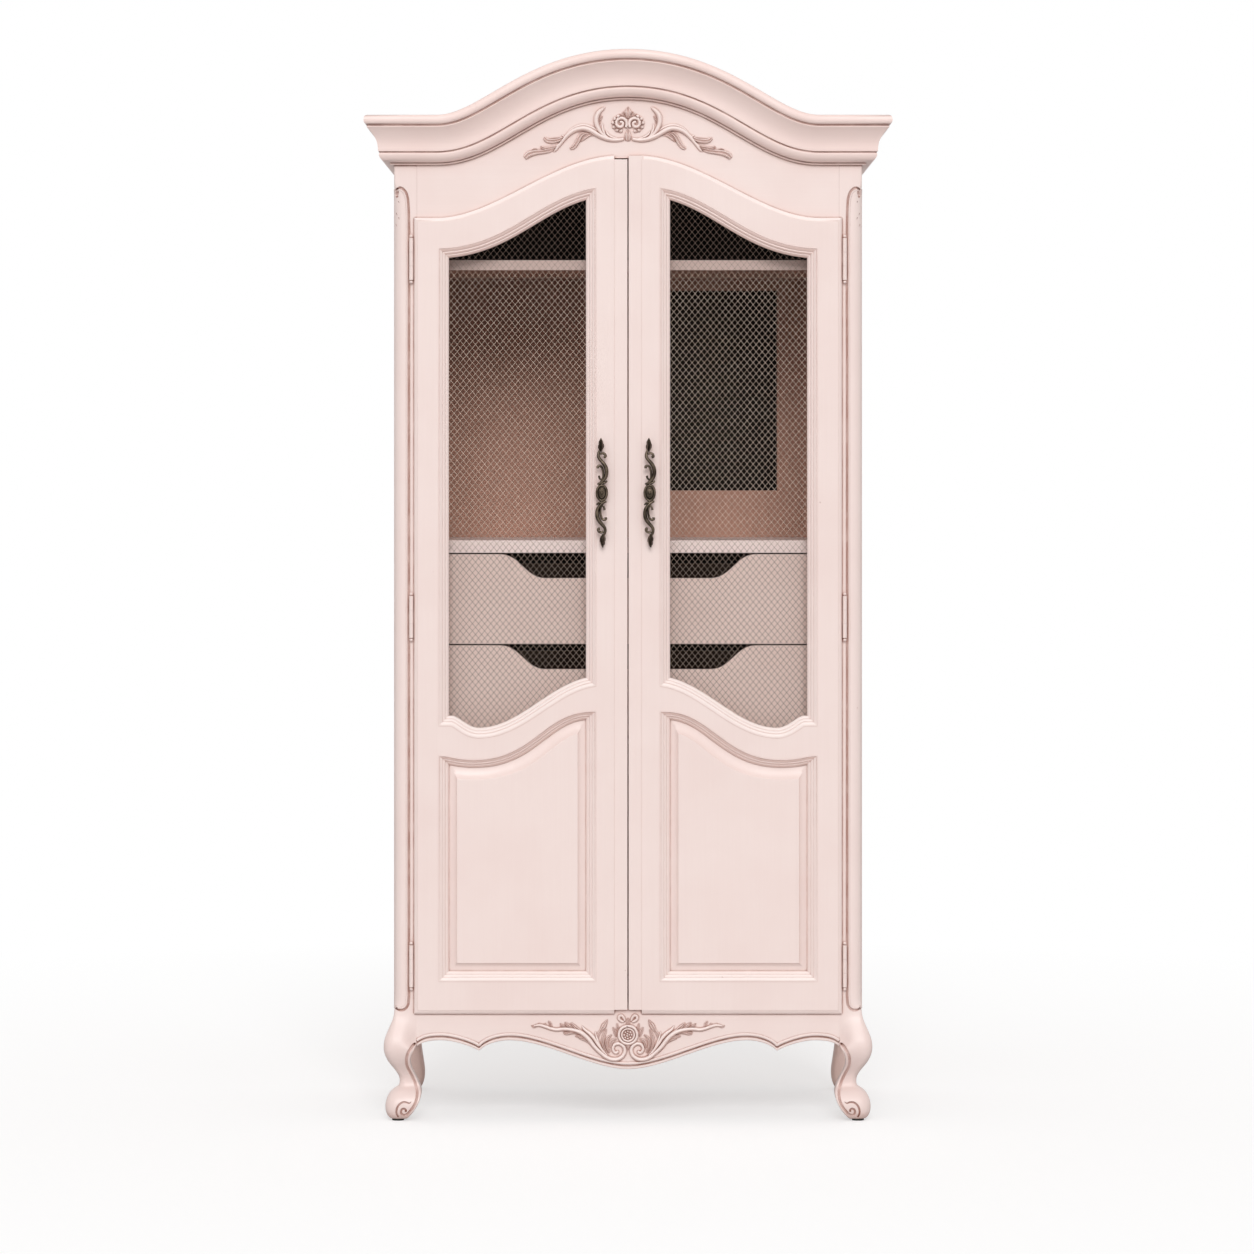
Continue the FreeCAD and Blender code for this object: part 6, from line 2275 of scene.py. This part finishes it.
class Wardrobe:
    """The finishes by the record's material slots, given to the nodes that stay."""

    ACROSS = ("rail", "apron", "frieze", "cornice", "shelf", "case_top", "case_bottom", "drawer_front")
    STAINED = ("back_panel", "rear_top_rail")

    def __init__(self) -> None:
        """Mixes every finish once."""
        strong = (0.93, 0.62)
        self.upright = Paint("blush_paint_upright").material()
        self.across = Paint("blush_paint_across", grain=Grain.ACROSS).material()
        # Mouldings: painted highlight on the sills that look up and painted shade on the heads that look
        # down.
        self.moulded = Paint(
            "blush_paint_moulded", glaze_shade_amount=1.0, glaze_shade_from=(0.8, 0.5), reach=0.004, painted_highlight=0.7,
            painted_shade_below=0.75,
        ).material()
        # Doors: painted highlight on the top of the lip, which looks up.
        self.doors = Paint("blush_paint_doors", glaze_shade_amount=0.35, painted_highlight=0.9).material()
        # The cornice takes a pinker copy of the paint: painted shade that gives its coves the pink of their
        # shade.
        shade_pink = {"body": (0.91, 0.74, 0.695), "warm": (0.85, 0.65, 0.605)}
        # A darker copy of the paint for the drawer fronts: painted shade for the inside of the case.
        shaded = {"body": (0.78, 0.62, 0.562), "warm": (0.72, 0.555, 0.497)}
        self.crown = Paint(
            "blush_paint_crown", grain=Grain.ACROSS, glaze_shade_amount=0.7, glaze_shade_from=strong, **shade_pink
        ).material()
        self.inside = Paint("blush_paint_inside_shaded", grain=Grain.ACROSS, **shaded).material()
        # A darker, browner copy of the paint for the shelf: painted shade inside the case, darkest on faces
        # that look down.
        self.shelf = Paint(
            "blush_paint_shelf_shaded", (0.60, 0.455, 0.41), (0.54, 0.40, 0.355), (0.34, 0.18, 0.13),
            grain=Grain.ACROSS, shade_tint_amount=0.3, painted_shade_below=0.8,
        ).material()
        # A pinker, darker copy of the paint for the rear legs: painted shade for the legs under the case.
        self.legs = Paint(
            "blush_paint_legs_shaded", (0.88, 0.655, 0.59), (0.82, 0.58, 0.51), glaze_shade_amount=0.6
        ).material()
        self.edged = Paint(
            "blush_paint_edged", grain=Grain.ACROSS, glaze_shade_amount=1.0, glaze_shade_from=strong, reach=0.004
        ).material()
        # The front posts, with painted shade low over their knees and feet.
        self.turned = Paint(
            "blush_paint_turned", glaze_shade_amount=1.0, glaze_shade_from=strong, reach=0.0045, low_painted_shade=0.6
        ).material()
        # The carvings: a paler body as painted highlight on their tops, with painted highlight above and
        # painted shade below.
        self.carved = Paint(
            "blush_paint_carved", (0.89, 0.75, 0.71), grain=Grain.CARVED, glaze_shade_amount=0.9,
            glaze_shade_from=(0.93, 0.54), reach=0.003, shade_tint_amount=0.5, painted_highlight=0.7, painted_shade_below=0.6,
        ).material()
        self.stained = InnerBoard("stained_board").material()
        self.topping = InnerBoard("stained_top", shade_heights=(8.0, 9.0), painted_black_heights=(8.0, 9.0)).material()
        # The bare wood inside the case is painted almost black: painted shade for the dark seen through the
        # drawers' hand holes.
        self.bare = BareWood("drawer_wood_painted_shade", (0.06, 0.04, 0.028), (0.035, 0.023, 0.016), sheen=0.1).material()
        self.dark = BareWood(
            "dark_board", (0.012, 0.009, 0.007), (0.005, 0.004, 0.003), Grain.UPRIGHT, sheen=0.05
        ).material()
        self.wire = DrawnWire("wire_with_painted_shade").material()
        self.bronze = Metal(
            "antique_bronze", (0.038, 0.029, 0.021), (0.17, 0.13, 0.095), roughness=(0.28, 0.48), reach=0.004,
            hollow_from=(0.97, 0.66),
        ).material()
        self.steel = Metal("plain_steel", (0.4, 0.39, 0.37), (0.6, 0.59, 0.57)).material()
        self.pad = Pad("foot_pad").material()

    def paint_for(self, node: str) -> bpy.types.Material:
        """Picks the finish of a painted piece: brown inside, or paint whose brush runs along it.

        Args:
            node: The piece's node.

        Returns:
            The finish.
        """
        if node in self.STAINED:
            return self.stained
        if node == "top_board":
            return self.topping
        # The drawer fronts take the darker copy of the paint, painted shade.
        if "drawer_front" in node:
            return self.inside
        # The shelf takes the darker copy of the paint, painted shade.
        if node == "top_shelf":
            return self.shelf
        return self.across if any(word in node for word in self.ACROSS) else self.upright

    def dress_nodes(self) -> None:
        """Gives every CAD node the finish of its slot."""
        plain = {
            "bare_wood": self.bare,
            "dark_board": self.dark,
            "wire": self.wire,
            "bronze": self.bronze,
            "screw": self.steel,
            "glide": self.pad,
        }
        for part in frame["record"]["subparts"]:
            node = NODES[part["node"]]
            finish = plain.get(part["material_slot"]) or self.paint_for(part["node"])
            node.data.materials.clear()
            node.data.materials.append(finish)


def main() -> None:
    """Builds the studio and every piece."""
    logging.basicConfig(level=logging.INFO)
    wardrobe = Wardrobe()
    wardrobe.dress_nodes()
    Studio().build()
    for maker in (FrontPost, RearPost, Apron, Door, Cornice, FriezeCarving, ApronCarving, Pull, WireScreen):
        maker(wardrobe).build()


if __name__ == "__main__":
    main()
